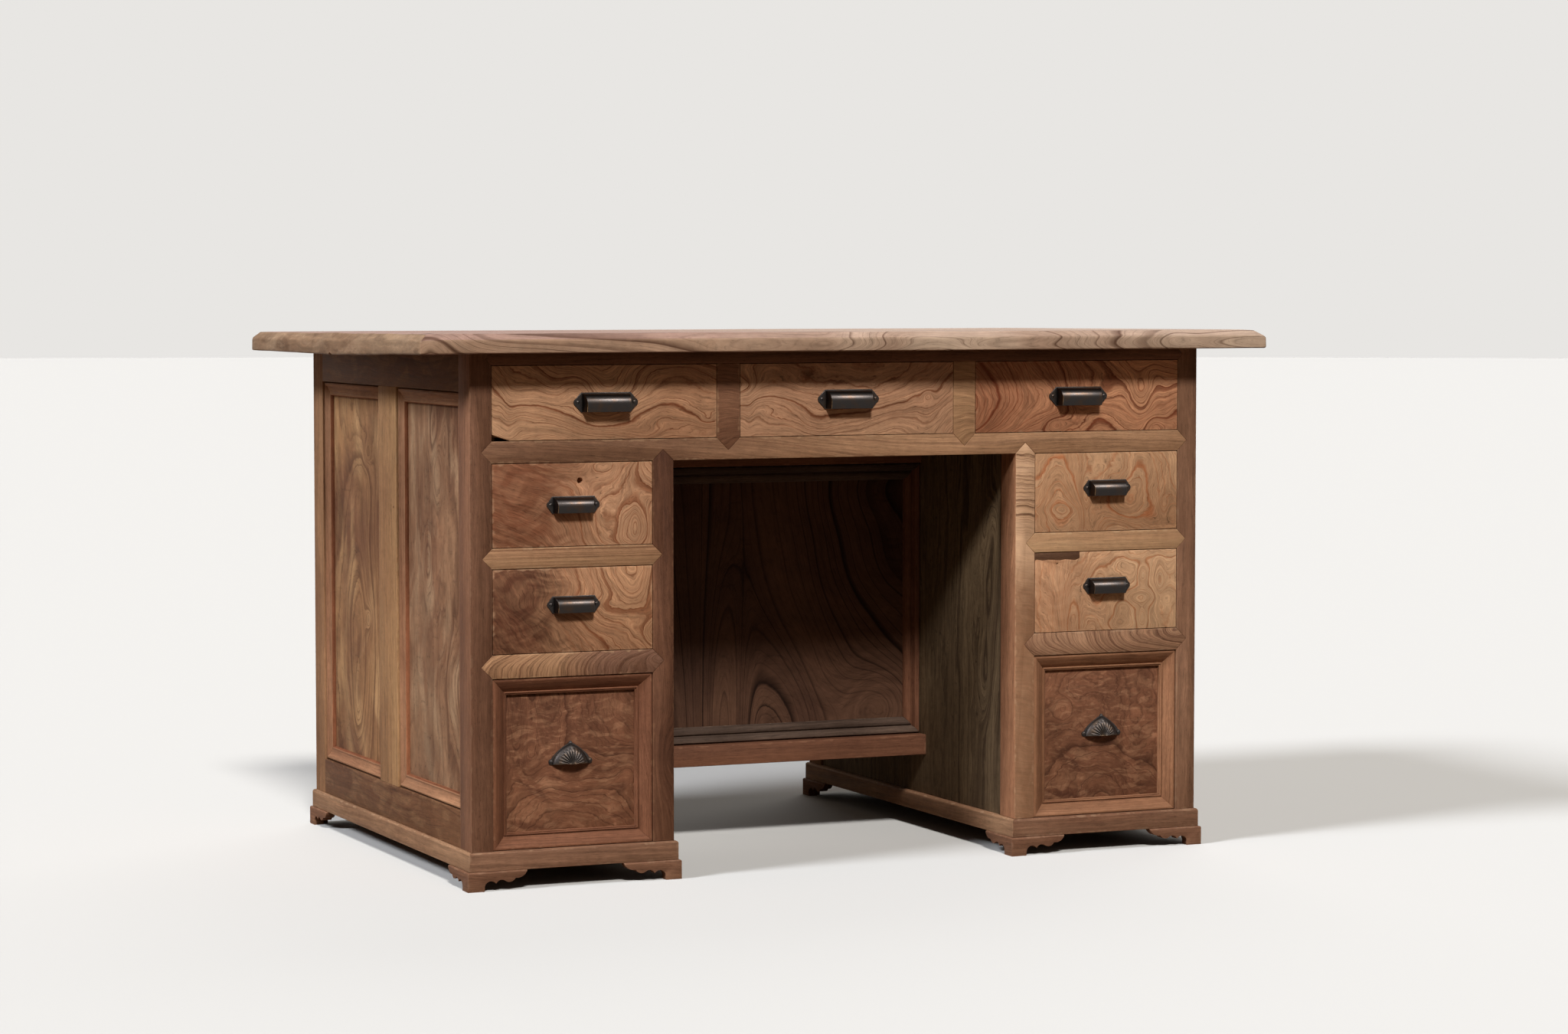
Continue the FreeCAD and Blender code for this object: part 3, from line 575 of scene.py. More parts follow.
def cut(made, tool, operation="DIFFERENCE"):
    """Takes the form of a tool out of a piece, or joins it on, and puts the tool away."""
    finish_with(made, "BOOLEAN", object=tool, operation=operation, solver="EXACT")
    bpy.data.objects.remove(tool)


def chip(made, place, size):
    """A splinter missing from an edge, taken out with a rough faceted pebble."""
    cut(made, basic(bpy.ops.mesh.primitive_ico_sphere_add, "pebble", subdivisions=2, radius=1,
                    location=place, scale=size, rotation=(0.4, 0.3, 0.2)))


side_lays = ("xyz", "yxz", "zxy")
side_woods = every_way("side_frame_wood", (106, 73, 51), (83, 54, 37), (59, 36, 24), lays=side_lays,
                       slope=(0, 30, 90), bends=((2.4, 12, 3.0), (10, 40, 0.6)), ink=0.6, cloud=0.6,
                       streaks=((14, 0.48, 0.64, 0.5, (134, 100, 71)),), worn=(131, 98, 70))
side_woods["z"] = elm("side_muntin_wood", "zxy", (162, 124, 86), (142, 103, 71), (113, 75, 49),
                      slope=(0, 30, 46), bends=((1.2, 8, 1.6), (8, 40, 0.3)), ink=0.5, worn=(174, 137, 98))
side_panel_tones = {"deep": (113, 78, 57), "line": (83, 53, 39), "fade": 0.6, "cloud": 0.75, "ink": 0.7,
                    "fibre": 0.17, "band": 0.15, "between": 0.5, "worn": (158, 122, 93)}
rear_panel = {"pale": (161, 120, 82), "slope": (-3, 30, 14), "bends": ((3, 9, 1.1), (12, 40, 0.35)),
              "swells": ((-90, 0, 200, 70, 7.5), (140, -20, 60, 60, 2.5), (-60, -55, 20, 16, 3.5),
                         (-190, 5, 45, 22, 2.2), (189, -49, 18, 19, -1.8), (315, -144, 294, 79, 3)),
              "streaks": ((6, 0.43, 0.68, 0.6, (184, 145, 103)),)}
front_panel = {"pale": (140, 105, 78), "slope": (1, 30, -20), "bends": ((4, 12, 1.6), (14, 50, 0.5)),
               "swells": ((-132, -125, 67, 59, 4.7), (175, -8, 46, 23, -4.4), (46, 33, 41, 16, 3.3),
                          (204, 2, 101, 26, 3), (243, 68, 176, 12, 2.5), (223, -46, 24, 9, -2.2),
                          (-55, -37, 51, 29, -1.8)),
               "streaks": ((7, 0.45, 0.68, 0.6, (167, 136, 105)), (30, 0.50, 0.70, 0.22, (158, 125, 95)))}
pin_place = Vector((-0.5775, -0.0249, 0.5201))
pin_size = (0.006, 0.0016, 0.0019)
for side in ("left", "right"):
    frame_boards = eased_boards(side + "_side_rails", side_ease)
    for board in frame_boards:
        across = board.bound_box[0][1] + board.bound_box[6][1]
        if side == "left" and long_side(board) == "z" and abs(across) < 0.1:
            chip(board, pin_place, pin_size)
    dress(frame_boards, side_woods)
    panels = eased_boards(side + "_side_panels", side_ease)
    panels.sort(key=lambda board: board.bound_box[0][1])
    for board, kind, figure in zip(panels, ("front", "rear"), (front_panel, rear_panel)):
        wood = elm(f"{side}_{kind}_panel_wood", "zxy", unlike=False, **side_panel_tones, **figure)
        dress([board], wood)


# Mouldings planted round the side panels: a rounded bead at the frame, a shallow cove and a thin bead at the
# panel, with a darker red line where they meet the panel: painted shade of the crease there, on a redder
# wood.
side_profile = ((0.0, 1.0), (0.10, 0.10), (0.20, 0.02), (0.30, 0.12), (0.36, 0.24), (0.55, 0.34),
                (0.74, 0.46), (0.80, 0.44), (0.86, 0.36), (0.93, 0.40), (0.98, 0.60), (1.0, 1.0))
moulding_round = 0.0004


def drawn_out(name, outline, move):
    """A solid made by drawing out a flat ring of points."""
    made = basic(bpy.ops.mesh.primitive_circle_add, name, vertices=len(outline), fill_type="NGON")
    for vertex, point in zip(made.data.vertices, outline):
        vertex.co = point
    with editing(made):
        bpy.ops.mesh.extrude_region_move(TRANSFORM_OT_translate={"value": move})
        bpy.ops.mesh.select_all(action="SELECT")
        bpy.ops.mesh.normals_make_consistent(inside=False)
    return made


def strip(name, profile, length, width, depth, turn, corner, facing):
    """One mitred moulding. Its profile is drawn out along X, cut at 45 degrees at both ends,
    then turned in the plane of the frame and set at its corner."""
    made = drawn_out(name, [(0, into * depth, across * width) for across, into in profile], (length, 0, 0))
    with editing(made):
        for place, normal in (((0, 0, 0), (1, 0, -1)), ((length, 0, 0), (-1, 0, -1))):
            slice_with(place, normal, use_fill=True, clear_inner=True)
    cosine, sine = math.cos(math.radians(turn)), math.sin(math.radians(turn))
    for vertex in made.data.vertices:
        x, y, z = vertex.co
        vertex.co = facing(corner[0] + x * cosine - z * sine, y, corner[1] + x * sine + z * cosine)
    with editing(made):
        bpy.ops.mesh.normals_make_consistent(inside=False)
    soften(made, moulding_round)
    return made


def moulding_frame(name, profile, across, height, width, depth, facing):
    """Four strips round an opening: bottom, right, top and left."""
    corners = ((0, across, (0, 0)), (90, height, (across, 0)), (180, across, (across, height)),
               (270, height, (0, height)))
    return [strip(f"{name}_{number}", profile, length, width, depth, turn, corner, facing)
            for number, (turn, length, corner) in enumerate(corners, 1)]


moulding_woods = every_way("side_moulding_wood", (156, 115, 85), (126, 87, 63), (96, 59, 43), lays=side_lays,
                           slope=(0, 50, 130), bends=((3, 20, 1.6), (20, 60, 0.3)), ink=0.45,
                           worn=(179, 142, 111))
moulding_width = 0.022
moulding_depth = 0.011
# The bead wood is darker than the moulding: painted shade of the crease at the panel.
bead_shade_wood = every_way("side_bead_shade_wood", (136, 86, 59), (110, 66, 46), (69, 38, 27), lays=side_lays,
                      slope=(0, 50, 130), ink=0.6, worn=(155, 106, 74))


def shade_bead(board, width_range, height_range):
    """Puts the darker, redder bead wood on the part of a strip that is nearest the panel: painted shade in
    the crease there.
    """
    board.data.materials.append(bead_shade_wood[long_side(board)])
    for face in board.data.polygons:
        y, z = face.center.y, face.center.z
        inset = min(y - width_range[0], width_range[1] - y, z - height_range[0], height_range[1] - z)
        face.material_index = 1 if inset > moulding_width * 0.93 else 0


opening_width = 0.283
moulding_inset = 0.001
for side, sign in (("left", -1), ("right", 1)):
    low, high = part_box(side + "_side_mouldings")
    face = high.x if sign > 0 else low.x
    for number, start in enumerate((low.y, high.y - opening_width), 1):
        def side_facing(across, into, up, sign=sign, face=face, start=start, base=low.z):
            return face - sign * (moulding_inset + into), start + across, base + up
        strips = moulding_frame(f"{side}_side_moulding_{number}", side_profile, opening_width, high.z - low.z,
                                moulding_width, moulding_depth, side_facing)
        dress(strips, moulding_woods)
        for board in strips:
            seat(board, side + "_side_mouldings")
            shade_bead(board, (start, start + opening_width), (low.z, high.z))


# Boards that close the pedestals towards the knee hole. They were never sanded as far
# as the front: the wood is grey and rough, with dark upright streaks.
board_wood = elm("inner_board_wood", "zxy", (126, 105, 79), (90, 72, 53), (46, 33, 25),
                 slope=(0, 20, 50), bends=((1.6, 7, 3.2), (7, 40, 1.1), (30, 130, 0.3)), ink=0.9, fade=0.6,
                 swells=((60, -285, 80, 26, 6), (-60, -270, 60, 22, 5), (150, -300, 50, 20, 4)),
                 fibre=0.32, rough=0.78, relief=0.0008)
dress(eased_boards("inner_side_boards", side_ease), board_wood)


# Back of the desk: posts, rails and flat panels, plainer and duller than the front.
back_woods = every_way("back_frame_wood", (151, 112, 80), (121, 86, 62), (95, 65, 46),
                       slope=(0, 40, 70), bends=((2, 12, 1.8), (12, 50, 0.4)), ink=0.5, rough=0.7)
back_panel_wood = elm("back_panel_wood", "zyx", (134, 100, 76), (104, 75, 57),
                      (80, 55, 42), slope=(0, 30, 46), bends=((2, 8, 3.6), (9, 40, 0.8)), ink=0.6, rough=0.72)
dress(eased_boards("rear_posts", post_ease), back_woods)
dress(eased_boards("back_rails", rail_ease), back_woods)
dress(eased_boards("back_panels", side_ease), back_panel_wood)


# Knee panel, set well back between the pedestals: two rails, a wide board with bold
# upright grain, and four mitred mouldings of two bands with a groove between them.
knee_woods = every_way("knee_rail_wood", (120, 80, 59), (95, 62, 46), (70, 43, 31),
                       slope=(0, 40, 90), bends=((2, 14, 1.6), (14, 50, 0.3)), ink=0.45, worn=(150, 108, 82))
dress(eased_boards("knee_rails", rail_ease), knee_woods)
# The knee panel is painted darker than its own brown: painted shade of the deep recess it stands in.
knee_shade_wood = elm("knee_panel_wood", "zyx", (95, 67, 51), (74, 51, 40), (30, 18, 13),
                slope=(-4, 20, -39), bends=((3, 12, 0.35), (14, 30, 0.06)), jag=0.02, unlike=False,
                swells=((-215, -54, 233, 37, -6.5), (-170, 222, 76, 73, 6), (175, 193, 75, 100, -3.8),
                        (-210, 56, 158, 100, 3.7), (56, 214, 75, 97, -2.7), (-113, 174, 41, 72, -0.4)),
                ink=1.0, fade=0.24, edge=0.07, between=0.8, fibre=0.14, band=0.14)
dress(eased_boards("knee_panel", side_ease), knee_shade_wood)
knee_profile = ((0.0, 1.0), (0.04, 0.30), (0.10, 0.08), (0.24, 0.02), (0.38, 0.12), (0.44, 0.48),
                (0.50, 0.62), (0.56, 0.42), (0.66, 0.34), (0.84, 0.40), (0.96, 0.66), (1.0, 1.0))
knee_moulding_width = 0.026
knee_moulding_depth = 0.013


def in_front(low):
    """Sets the strips of a frame in a plane that faces the front."""
    return lambda across, into, up: (low.x + across, low.y + into, low.z + up)


low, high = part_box("knee_mouldings")
knee_strips = moulding_frame("knee_moulding", knee_profile, high.x - low.x, high.z - low.z,
                             knee_moulding_width, knee_moulding_depth, in_front(low))
for board in knee_strips:
    seat(board, "knee_mouldings")
knee_grey = elm("knee_moulding_grey_wood", "xyz", (96, 78, 66), (62, 48, 40), (44, 33, 28),
                slope=(0, 50, 120), bends=((3, 20, 2.0), (20, 60, 0.4)), ink=0.5, rough=0.7,
                worn=(132, 110, 92))
dress(knee_strips, {"z": knee_woods["z"], "x": knee_grey})


# Inner works: runners, kickers, stops and glue blocks of plain sawn elm, left rough.
inner_woods = elm("runner_wood", "yxz", (160, 128, 98), (134, 103, 77), (108, 78, 57),
                  slope=(0, 70, 70), ink=0.4, rough=0.75, boxed=False)
for node in ("drawer_runners", "drawer_stops", "glue_blocks"):
    frame["nodes"][node].material_slots[0].material = inner_woods


# Desk top: one thick slab, planed by hand. A flat bevel runs round its upper edge, the ends are uneven and
# softly faceted, its left end sags where it overhangs, and its rear edge lies low. The figure is one field of
# rings, in a wood each for top, edges and ends. The top and bevel take a paler, greyer copy, painted light
# from above, and the long edges a darker copy, painted shade.
slab_low, slab_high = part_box("desk_top")
slab_edge = 0.0195
slab_bevel = 0.013
slab_play = 0.0006
slab_cuts = 96
rear_drop = 0.006
right_clip = 0.022
left_overhang = 0.086
left_sag = (0.0012, 0.0063)
worked_band = 0.02
wave_length = 0.08
wave_depth = 0.0045
skin = 0.0001


def smooth(low, high, value):
    t = min(1.0, max(0.0, (value - low) / (high - low)))
    return t * t * (3 - 2 * t)


def solid(name, low, high):
    """A plain rectangular board between two corners."""
    made = basic(bpy.ops.mesh.primitive_cube_add, name, size=1, location=(low + high) / 2, scale=high - low)
    bpy.ops.object.transform_apply(location=True, rotation=False, scale=True)
    return made


def bevelled_slab():
    size = slab_high - slab_low
    play = Vector((slab_play, slab_play, 0))
    slab = solid("desk_top_slab", slab_low + play, Vector((*slab_high.xy, slab_low.z + slab_edge)) - play)
    with editing(slab):
        bpy.ops.mesh.select_all(action="DESELECT")
    for face in slab.data.polygons:
        face.select = face.normal.z > 0.9
    rise = (0, 0, size.z - slab_edge - slab_play)
    with editing(slab, whole=False):
        bpy.ops.mesh.extrude_region_move(TRANSFORM_OT_translate={"value": rise})
        bpy.ops.transform.resize(value=(1 - 2 * slab_bevel / size.x, 1 - 2 * slab_bevel / size.y, 1),
                                 center_override=(slab_low + size / 2))
    soften(slab, 0.003, 3)
    with editing(slab):
        for axis, cuts in ((0, slab_cuts), (1, slab_cuts // 2)):
            for i in range(1, cuts):
                place = slab_low.copy()
                place[axis] += size[axis] * i / cuts
                slice_with(place, (1 - axis, axis, 0))
    return slab


def settle(slab):
    """The droop of the rear edge and the left end, and the clipped corners."""
    size = slab_high - slab_low
    for vertex in slab.data.vertices:
        x, y, z = vertex.co
        top = max(0.0, (z - slab_low.z) / size.z - 0.3) / 0.7
        rear = (y - slab_low.y) / size.y
        left, right = x - slab_low.x, slab_high.x - x
        vertex.co.z -= top * rear_drop * rear
        if rear > 0.95 and left < 0.03:
            nose = (rear - 0.95) / 0.05 * (1 - left / 0.03)
            vertex.co += Vector((0.004, -0.003, -0.002 * top)) * nose * nose
        if right < right_clip:
            vertex.co.z -= (right_clip - right) / right_clip * 0.003 * top
        beyond = max(0.0, 1 - left / left_overhang)
        vertex.co.z -= beyond * (1 - top) * (left_sag[0] + left_sag[1] * smooth(0.0, 0.5, rear))


def plane_by_hand(slab):
    """Waves along the rim, strongest at the left end, kept inside the desk's overall size."""
    rim = slab.vertex_groups.new(name="rim")
    for vertex in slab.data.vertices:
        x, y, z = vertex.co
        left = x - slab_low.x
        inset = min(left, slab_high.x - x, y - slab_low.y, slab_high.y - y)
        worked = 1.0 if left < worked_band else 0.4
        if z < slab_low.z + 0.003:
            worked *= 0.3
        if inset < worked_band:
            rim.add([vertex.index], worked * (1 - inset / worked_band * 0.5), "REPLACE")
    waves = bpy.data.textures.new("hand_planing", "CLOUDS")
    waves.noise_scale = wave_length
    finish_with(slab, "DISPLACE", texture=waves, texture_coords="LOCAL", vertex_group="rim", mid_level=0.8,
                strength=wave_depth)
    for vertex in slab.data.vertices:
        for i in (0, 1):
            vertex.co[i] = min(max(vertex.co[i], slab_low[i] + skin), slab_high[i] - skin)
        vertex.co.z = min(vertex.co.z, slab_high.z - skin)


slab = bevelled_slab()
settle(slab)
plane_by_hand(slab)
chip(slab, (slab_low.x + 0.002, -0.007, slab_low.z - 0.0085), (0.006, 0.0065, 0.0046))
shade_round(slab, round_below)
seat(slab, "desk_top")
slab_figure = {"slope": (0, 30, -60), "unlike": False, "swell_depth": -0.42,
               "swells": ((250, -21, 172, 13, -4.9), (-652, 10, 57, 23, 4.6), (124, -3, 86, 23, -3.5),
                          (-649, -21, 208, 23, 3.4), (623, 4, 213, 21, 3.2), (47, -17, 101, 12, -3),
                          (245, 12, 117, 22, -2.8), (308, -3, 102, 23, -2), (55, 12, 62, 23, -2),
                          (-175, -10, 135, 19, -1.5), (498, -3, 108, 22, -1), (510, 2, 32, 18, 0.9)),
               "bends": ((1.6, 9, 0.5), (9, 26, 0.08)), "jag": 0.015, "ink": 1.0, "fade": 0.24, "edge": 0.09,
               "between": 0.85, "cloud": 0.6, "band": 0.12, "fibre": 0.12, "rough": 0.55}
dress([slab], elm("desk_top_wood", "xyz", (175, 150, 130), (145, 118, 99), (88, 62, 50),
                  smoke=(0.12, -0.35, (146, 115, 101), 0.0), worn=(205, 183, 165), **slab_figure))
shaded_edge_wood = elm("desk_top_edge_wood", "xyz", (170, 146, 123), (136, 109, 89), (73, 48, 34),
                smoke=(0.12, -0.35, (144, 114, 91), 0.0), worn=(196, 170, 146), **slab_figure)
end_wood = elm("desk_top_end_wood", "yxz", (145, 119, 94), (115, 86, 64), (89, 61, 43),
               slope=(0, 30, 60), bends=((7, 20, 1.6), (30, 60, 0.5)), cloud=0.8, ink=0.25,
               fade=0.6, band=0.3, fibre=0.14, worn=(157, 137, 115), rough=0.55,
               streaks=((13, 0.50, 0.62, 0.75, (90, 66, 48)), (30, 0.54, 0.66, 0.4, (159, 133, 108))))
# The long edges take the darker copy and the top the paler one: painted shade and painted light.
slab.data.materials.append(shaded_edge_wood)
slab.data.materials.append(end_wood)
for face in slab.data.polygons:
    near = min(face.center.x - slab_low.x, slab_high.x - face.center.x)
    if near < slab_bevel + 0.001 and abs(face.normal.x) > 0.3:
        face.material_index = 2
    elif abs(face.normal.y) > 0.8:
        face.material_index = 1


# Drawer boxes: dovetailed sides let into the back of the front, a bottom in grooves and
# a back that stands on it, all of pale plain boards.
box_woods = elm("drawer_box_wood", "yxz", (176, 142, 108), (150, 116, 86), (124, 90, 64),
                slope=(0, 60, 80), bends=((1.6, 10, 1.4), (10, 40, 0.3)), ink=0.5, rough=0.7, boxed=False)
drawers = [name for name in frame["bodies"] if name.endswith("drawer") or name.startswith("top_drawer")]
for drawer in drawers:
    frame["nodes"][drawer + "_box"].material_slots[0].material = box_woods


# Drawer fronts of the seven small drawers: thick boards of wild-grained elm, each with
# its own figure, sanded and lightly eased.
front_ease = 0.0009


def cut_corner(made, place, normal):
    """Takes off what lies beyond a plane and closes the wound."""
    with editing(made):
        slice_with(place, normal, use_fill=True, clear_outer=True)


def face_of(made):
    return min(vertex.co.y for vertex in made.data.vertices)


def drill(made, x, z, radius, depth):
    """A round blind hole in the face of a front."""
    cut(made, basic(bpy.ops.mesh.primitive_cylinder_add, "drill", vertices=24, radius=radius,
                    depth=2 * depth, location=(x, face_of(made), z), rotation=(math.pi / 2, 0, 0)))


top_tones = {"pale": (177, 136, 103), "deep": (158, 115, 85), "line": (104, 56, 33), "fade": 0.24,
             "cloud": 0.65, "ink": 1.0}
left_figure = {"ink": 1.0, "bends": ((26, 34, 0.4), (110, 130, 0.14))}
right_figure = {"fade": 0.24, "between": 0.5, "band": 0.14}
fronts = {
    "top_drawer_left": {
        **top_tones, "bends": ((20, 42, 0.4), (90, 120, 0.1)),
        "slope": (17, 14, 99),
        "swells": ((-24, 21, 72, 80, 9), (-144, -31, 39, 73, 6.7), (151, -32, 28, 13, -6.6),
            (-39, 19, 30, 34, -5.7), (154, -30, 23, 11, 5.2), (146, -36, 38, 27, 3.8),
            (61, -49, 47, 23, 3.2), (-132, -26, 21, 31, -2.7), (100, 46, 113, 22, -1.9),
            (-156, -9, 11, 32, -1.4))},
    "top_drawer_centre": {
        **top_tones, "pale": (179, 138, 106), "deep": (157, 116, 88), "line": (102, 57, 34),
        "bends": ((22, 42, 0.4), (90, 120, 0.1)),
        "slope": (-12, 14, 68),
        "swells": ((-152, 14, 80, 28, 9), (-134, 4, 53, 39, -8.6), (62, -11, 109, 80, 6.2),
            (98, -36, 83, 51, -4.7), (124, -56, 39, 62, 4.3), (-124, -23, 38, 22, 3.4),
            (128, 3, 9, 9, -1.8), (-53, -36, 29, 30, 1.4), (109, -6, 16, 40, -0.9),
            (-156, -10, 9, 37, 0.9))},
    "top_drawer_right": {
        "pale": (193, 140, 103), "deep": (163, 111, 80), "line": (100, 47, 27),
        "smoke": (0.06, -0.16, (142, 94, 67), 0.0), "ink": 1.0, "bends": ((20, 40, 0.4), (90, 120, 0.1)),
        "slope": (70, 14, 62),
        "swells": ((177, -18, 54, 82, -9), (-99, -61, 96, 41, 9), (91, 5, 58, 23, 6.1),
            (80, 5, 29, 22, -6), (129, -21, 19, 54, -4.5), (129, -24, 24, 20, 4),
            (-195, -56, 113, 10, 3.5), (-3, -22, 33, 81, 3), (-38, -42, 19, 13, 2.4),
            (-75, 0, 33, 79, 1.8))},
    "left_upper_drawer": {
        **left_figure, "pale": (191, 147, 112), "deep": (169, 125, 94), "line": (124, 71, 44),
        "smoke": (0.05, -0.05, (111, 69, 48), 0.92), "streaks": ((24, 0.45, 0.75, 0.22, (168, 118, 85)),),
        "slope": (37, 14, 88),
        "swells": ((61, -63, 80, 29, 6.6), (95, -33, 9, 30, 5.5), (43, -22, 43, 36, 5.2),
            (54, 63, 42, 28, -4.9), (81, -35, 13, 35, 3.8), (108, -33, 9, 28, 3.7),
            (88, 66, 14, 13, -2.7))},
    "left_lower_drawer": {
        **left_figure, "pale": (171, 128, 94), "deep": (152, 109, 80), "line": (114, 66, 41),
        "smoke": (0.045, -0.06, (79, 48, 33), 0.92), "streaks": ((24, 0.45, 0.75, 0.22, (156, 110, 80)),),
        "slope": (47, 14, 12),
        "swells": ((92, 54, 65, 43, 6.2), (126, 50, 22, 43, -5.9), (123, -37, 18, 18, 3.9),
            (10, 5, 80, 16, 2.3), (48, -17, 43, 20, 2.1), (86, -35, 14, 12, 2), (82, -36, 9, 9, -1.5),
            (88, 28, 17, 13, 1.1))},
    "right_upper_drawer": {
        **right_figure, "pale": (174, 136, 102), "deep": (156, 115, 83), "line": (146, 86, 52),
        "ink": 0.9, "bends": ((30, 38, 0.4), (110, 130, 0.16)),
        "slope": (-18, 14, -35),
        "swells": ((-72, 11, 34, 64, 8.3), (-37, -84, 9, 78, -7.4), (25, -66, 38, 36, -6.5),
            (-61, 20, 39, 45, -6), (32, 1, 33, 78, 5.7), (-40, -53, 11, 32, 5.3), (27, 26, 23, 37, -4),
            (81, 46, 50, 52, 3.2), (107, -34, 49, 29, 2.3), (-41, 36, 19, 38, 2),
            (98, -25, 10, 18, -1.5), (-65, -25, 51, 10, 0.9))},
    "right_lower_drawer": {
        **right_figure, "pale": (197, 161, 124), "deep": (174, 135, 101), "line": (145, 90, 56),
        "ink": 0.85, "smoke": (0.10, -0.10, (158, 115, 84), 0.0), "bends": ((34, 22, 0.6), (120, 90, 0.2)),
        "slope": (38, 14, -2),
        "swells": ((110, 65, 35, 20, -5), (-57, -49, 20, 75, 4.9), (63, 22, 9, 14, -4.1),
            (-16, 4, 22, 36, 4.1), (28, -15, 18, 25, 3), (62, -42, 9, 17, -3), (51, -11, 56, 13, -3),
            (47, 36, 46, 19, 3), (21, -51, 24, 13, 2.5), (91, 10, 9, 34, 2.5), (53, 51, 23, 23, -2.2),
            (83, 33, 35, 13, -1.7))},
}


def arc_points(centre, radius, start, end, count):
    angles = [math.radians(start + (end - start) * i / (count - 1)) for i in range(count)]
    return [(centre[0] + radius * math.cos(a), centre[1] + radius * math.sin(a)) for a in angles]


def carve(made, path, half_width, depth):
    """A crack in the face of a front, as wide as twice half_width, along a path."""
    start = face_of(made) + depth
    edges = [[], []]
    for i, (x, z) in enumerate(path):
        before, after = path[max(i - 1, 0)], path[min(i + 1, len(path) - 1)]
        run = Vector((after[0] - before[0], after[1] - before[1])).normalized()
        wide = half_width * math.sin(math.pi * (i + 0.5) / len(path)) ** 0.5
        for line, side in zip(edges, (-1, 1)):
            line.append((x - side * run.y * wide, start, z + side * run.x * wide))
    cut(made, drawn_out("crack", edges[0] + edges[1][::-1], (0, -2 * depth, 0)))


def let_in(made, outline, low):
    """A patch let into a bed in the face of a front. It gives the patch back."""
    ring = [(x, low.y + patch_depth, z) for x, z in outline]
    bed = drawn_out("patch_bed", ring, (0, -patch_depth - 0.001, 0))
    patch = bring_in("right_lower_drawer_patch", bed.data.copy())
    cut(made, bed)
    for vertex in patch.data.vertices:
        vertex.co.y = max(vertex.co.y, low.y + skin)
    soften(patch, 0.0003)
    return patch


lost_height, lost_length = 0.0085, 0.026
left_hole = (-0.4145, 0.5717, 0.0042)
crack_arc = ((-0.5497, 0.4867), 0.0115, 178, 272)
nail_hole = (0.3424, 0.4326, 0.0011)
patch_outline = ((0.3039, 0.46), (0.3042, 0.4386), (0.309, 0.4398), (0.318, 0.4381), (0.327, 0.4392),
                 (0.338, 0.4383), (0.347, 0.4377), (0.3555, 0.4391), (0.364, 0.4384), (0.3725, 0.4372),
                 (0.3797, 0.4399), (0.3797, 0.46))
patch_depth = 0.003
patch_wood = elm("front_patch_wood", "xyz", (112, 80, 58), (82, 56, 41), (52, 33, 24), slope=(4, 20, 260),
                 bends=((3, 30, 1.0), (20, 60, 0.3)))
for drawer, figure in fronts.items():
    low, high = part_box(drawer + "_front")
    made = solid(drawer + "_face", low, high)
    if drawer == "top_drawer_left":
        cut_corner(made, (low.x, low.y, low.z + lost_height), (-lost_height, 0, -lost_length))
    if drawer == "left_upper_drawer":
        drill(made, *left_hole, 0.012)
        carve(made, arc_points(*crack_arc, 12), 0.0005, 0.003)
    if drawer == "right_lower_drawer":
        drill(made, *nail_hole, 0.006)
        patch = let_in(made, [(x, min(z, high.z)) for x, z in patch_outline], low)
        seat(patch, drawer + "_front")
        dress([patch], patch_wood)
    soften(made, front_ease)
    seat(made, drawer + "_front")
    dress([made], elm(drawer + "_wood", "xyz", unlike=False, worn=(190, 150, 116), **figure))


# Deep drawers at the bottom: a flat board of dark rippled burl, and four mitred
# mouldings that slope in to a narrow double bead.
burl = {
    "left_deep_drawer": {
        "slope": (-28, 12, -32),
        "swells": ((92, -118, 63, 137, 6), (-24, -109, 62, 60, 5.8), (-80, 77, 15, 83, 4.1),
                   (-12, 116, 65, 46, 4), (90, -14, 28, 31, 3.4), (33, -43, 54, 121, 3.4),
                   (-34, 53, 24, 76, 2.9), (71, 8, 37, 43, -1.9), (-2, 56, 29, 24, 1.3),
                   (-46, -46, 47, 30, 1.3))},
    "right_deep_drawer": {
        "slope": (3, 12, -36),
        "swells": ((-15, 52, 65, 88, 6), (-16, 29, 45, 54, -5), (-65, 38, 16, 18, -2.6), (78, 83, 22, 40, 2),
                   (0, -95, 49, 49, 3), (56, 14, 24, 60, -1.6), (106, -54, 14, 29, -1.5))}}
deep_profile = ((0.0, 1.0), (0.0, 0.06), (0.10, 0.0), (0.18, 0.02), (0.50, 0.30), (0.76, 0.54), (0.80, 0.62),
                (0.83, 0.50), (0.88, 0.47), (0.92, 0.52), (0.93, 0.62), (0.96, 0.56), (1.0, 0.60), (1.0, 1.0))
deep_moulding_width = 0.023
deep_moulding_depth = 0.015
deep_moulding_tones = {
    "left_deep_drawer": ((126, 83, 60), (100, 64, 46), (73, 42, 28)),
    "right_deep_drawer": ((149, 106, 77), (120, 82, 58), (87, 52, 36))}
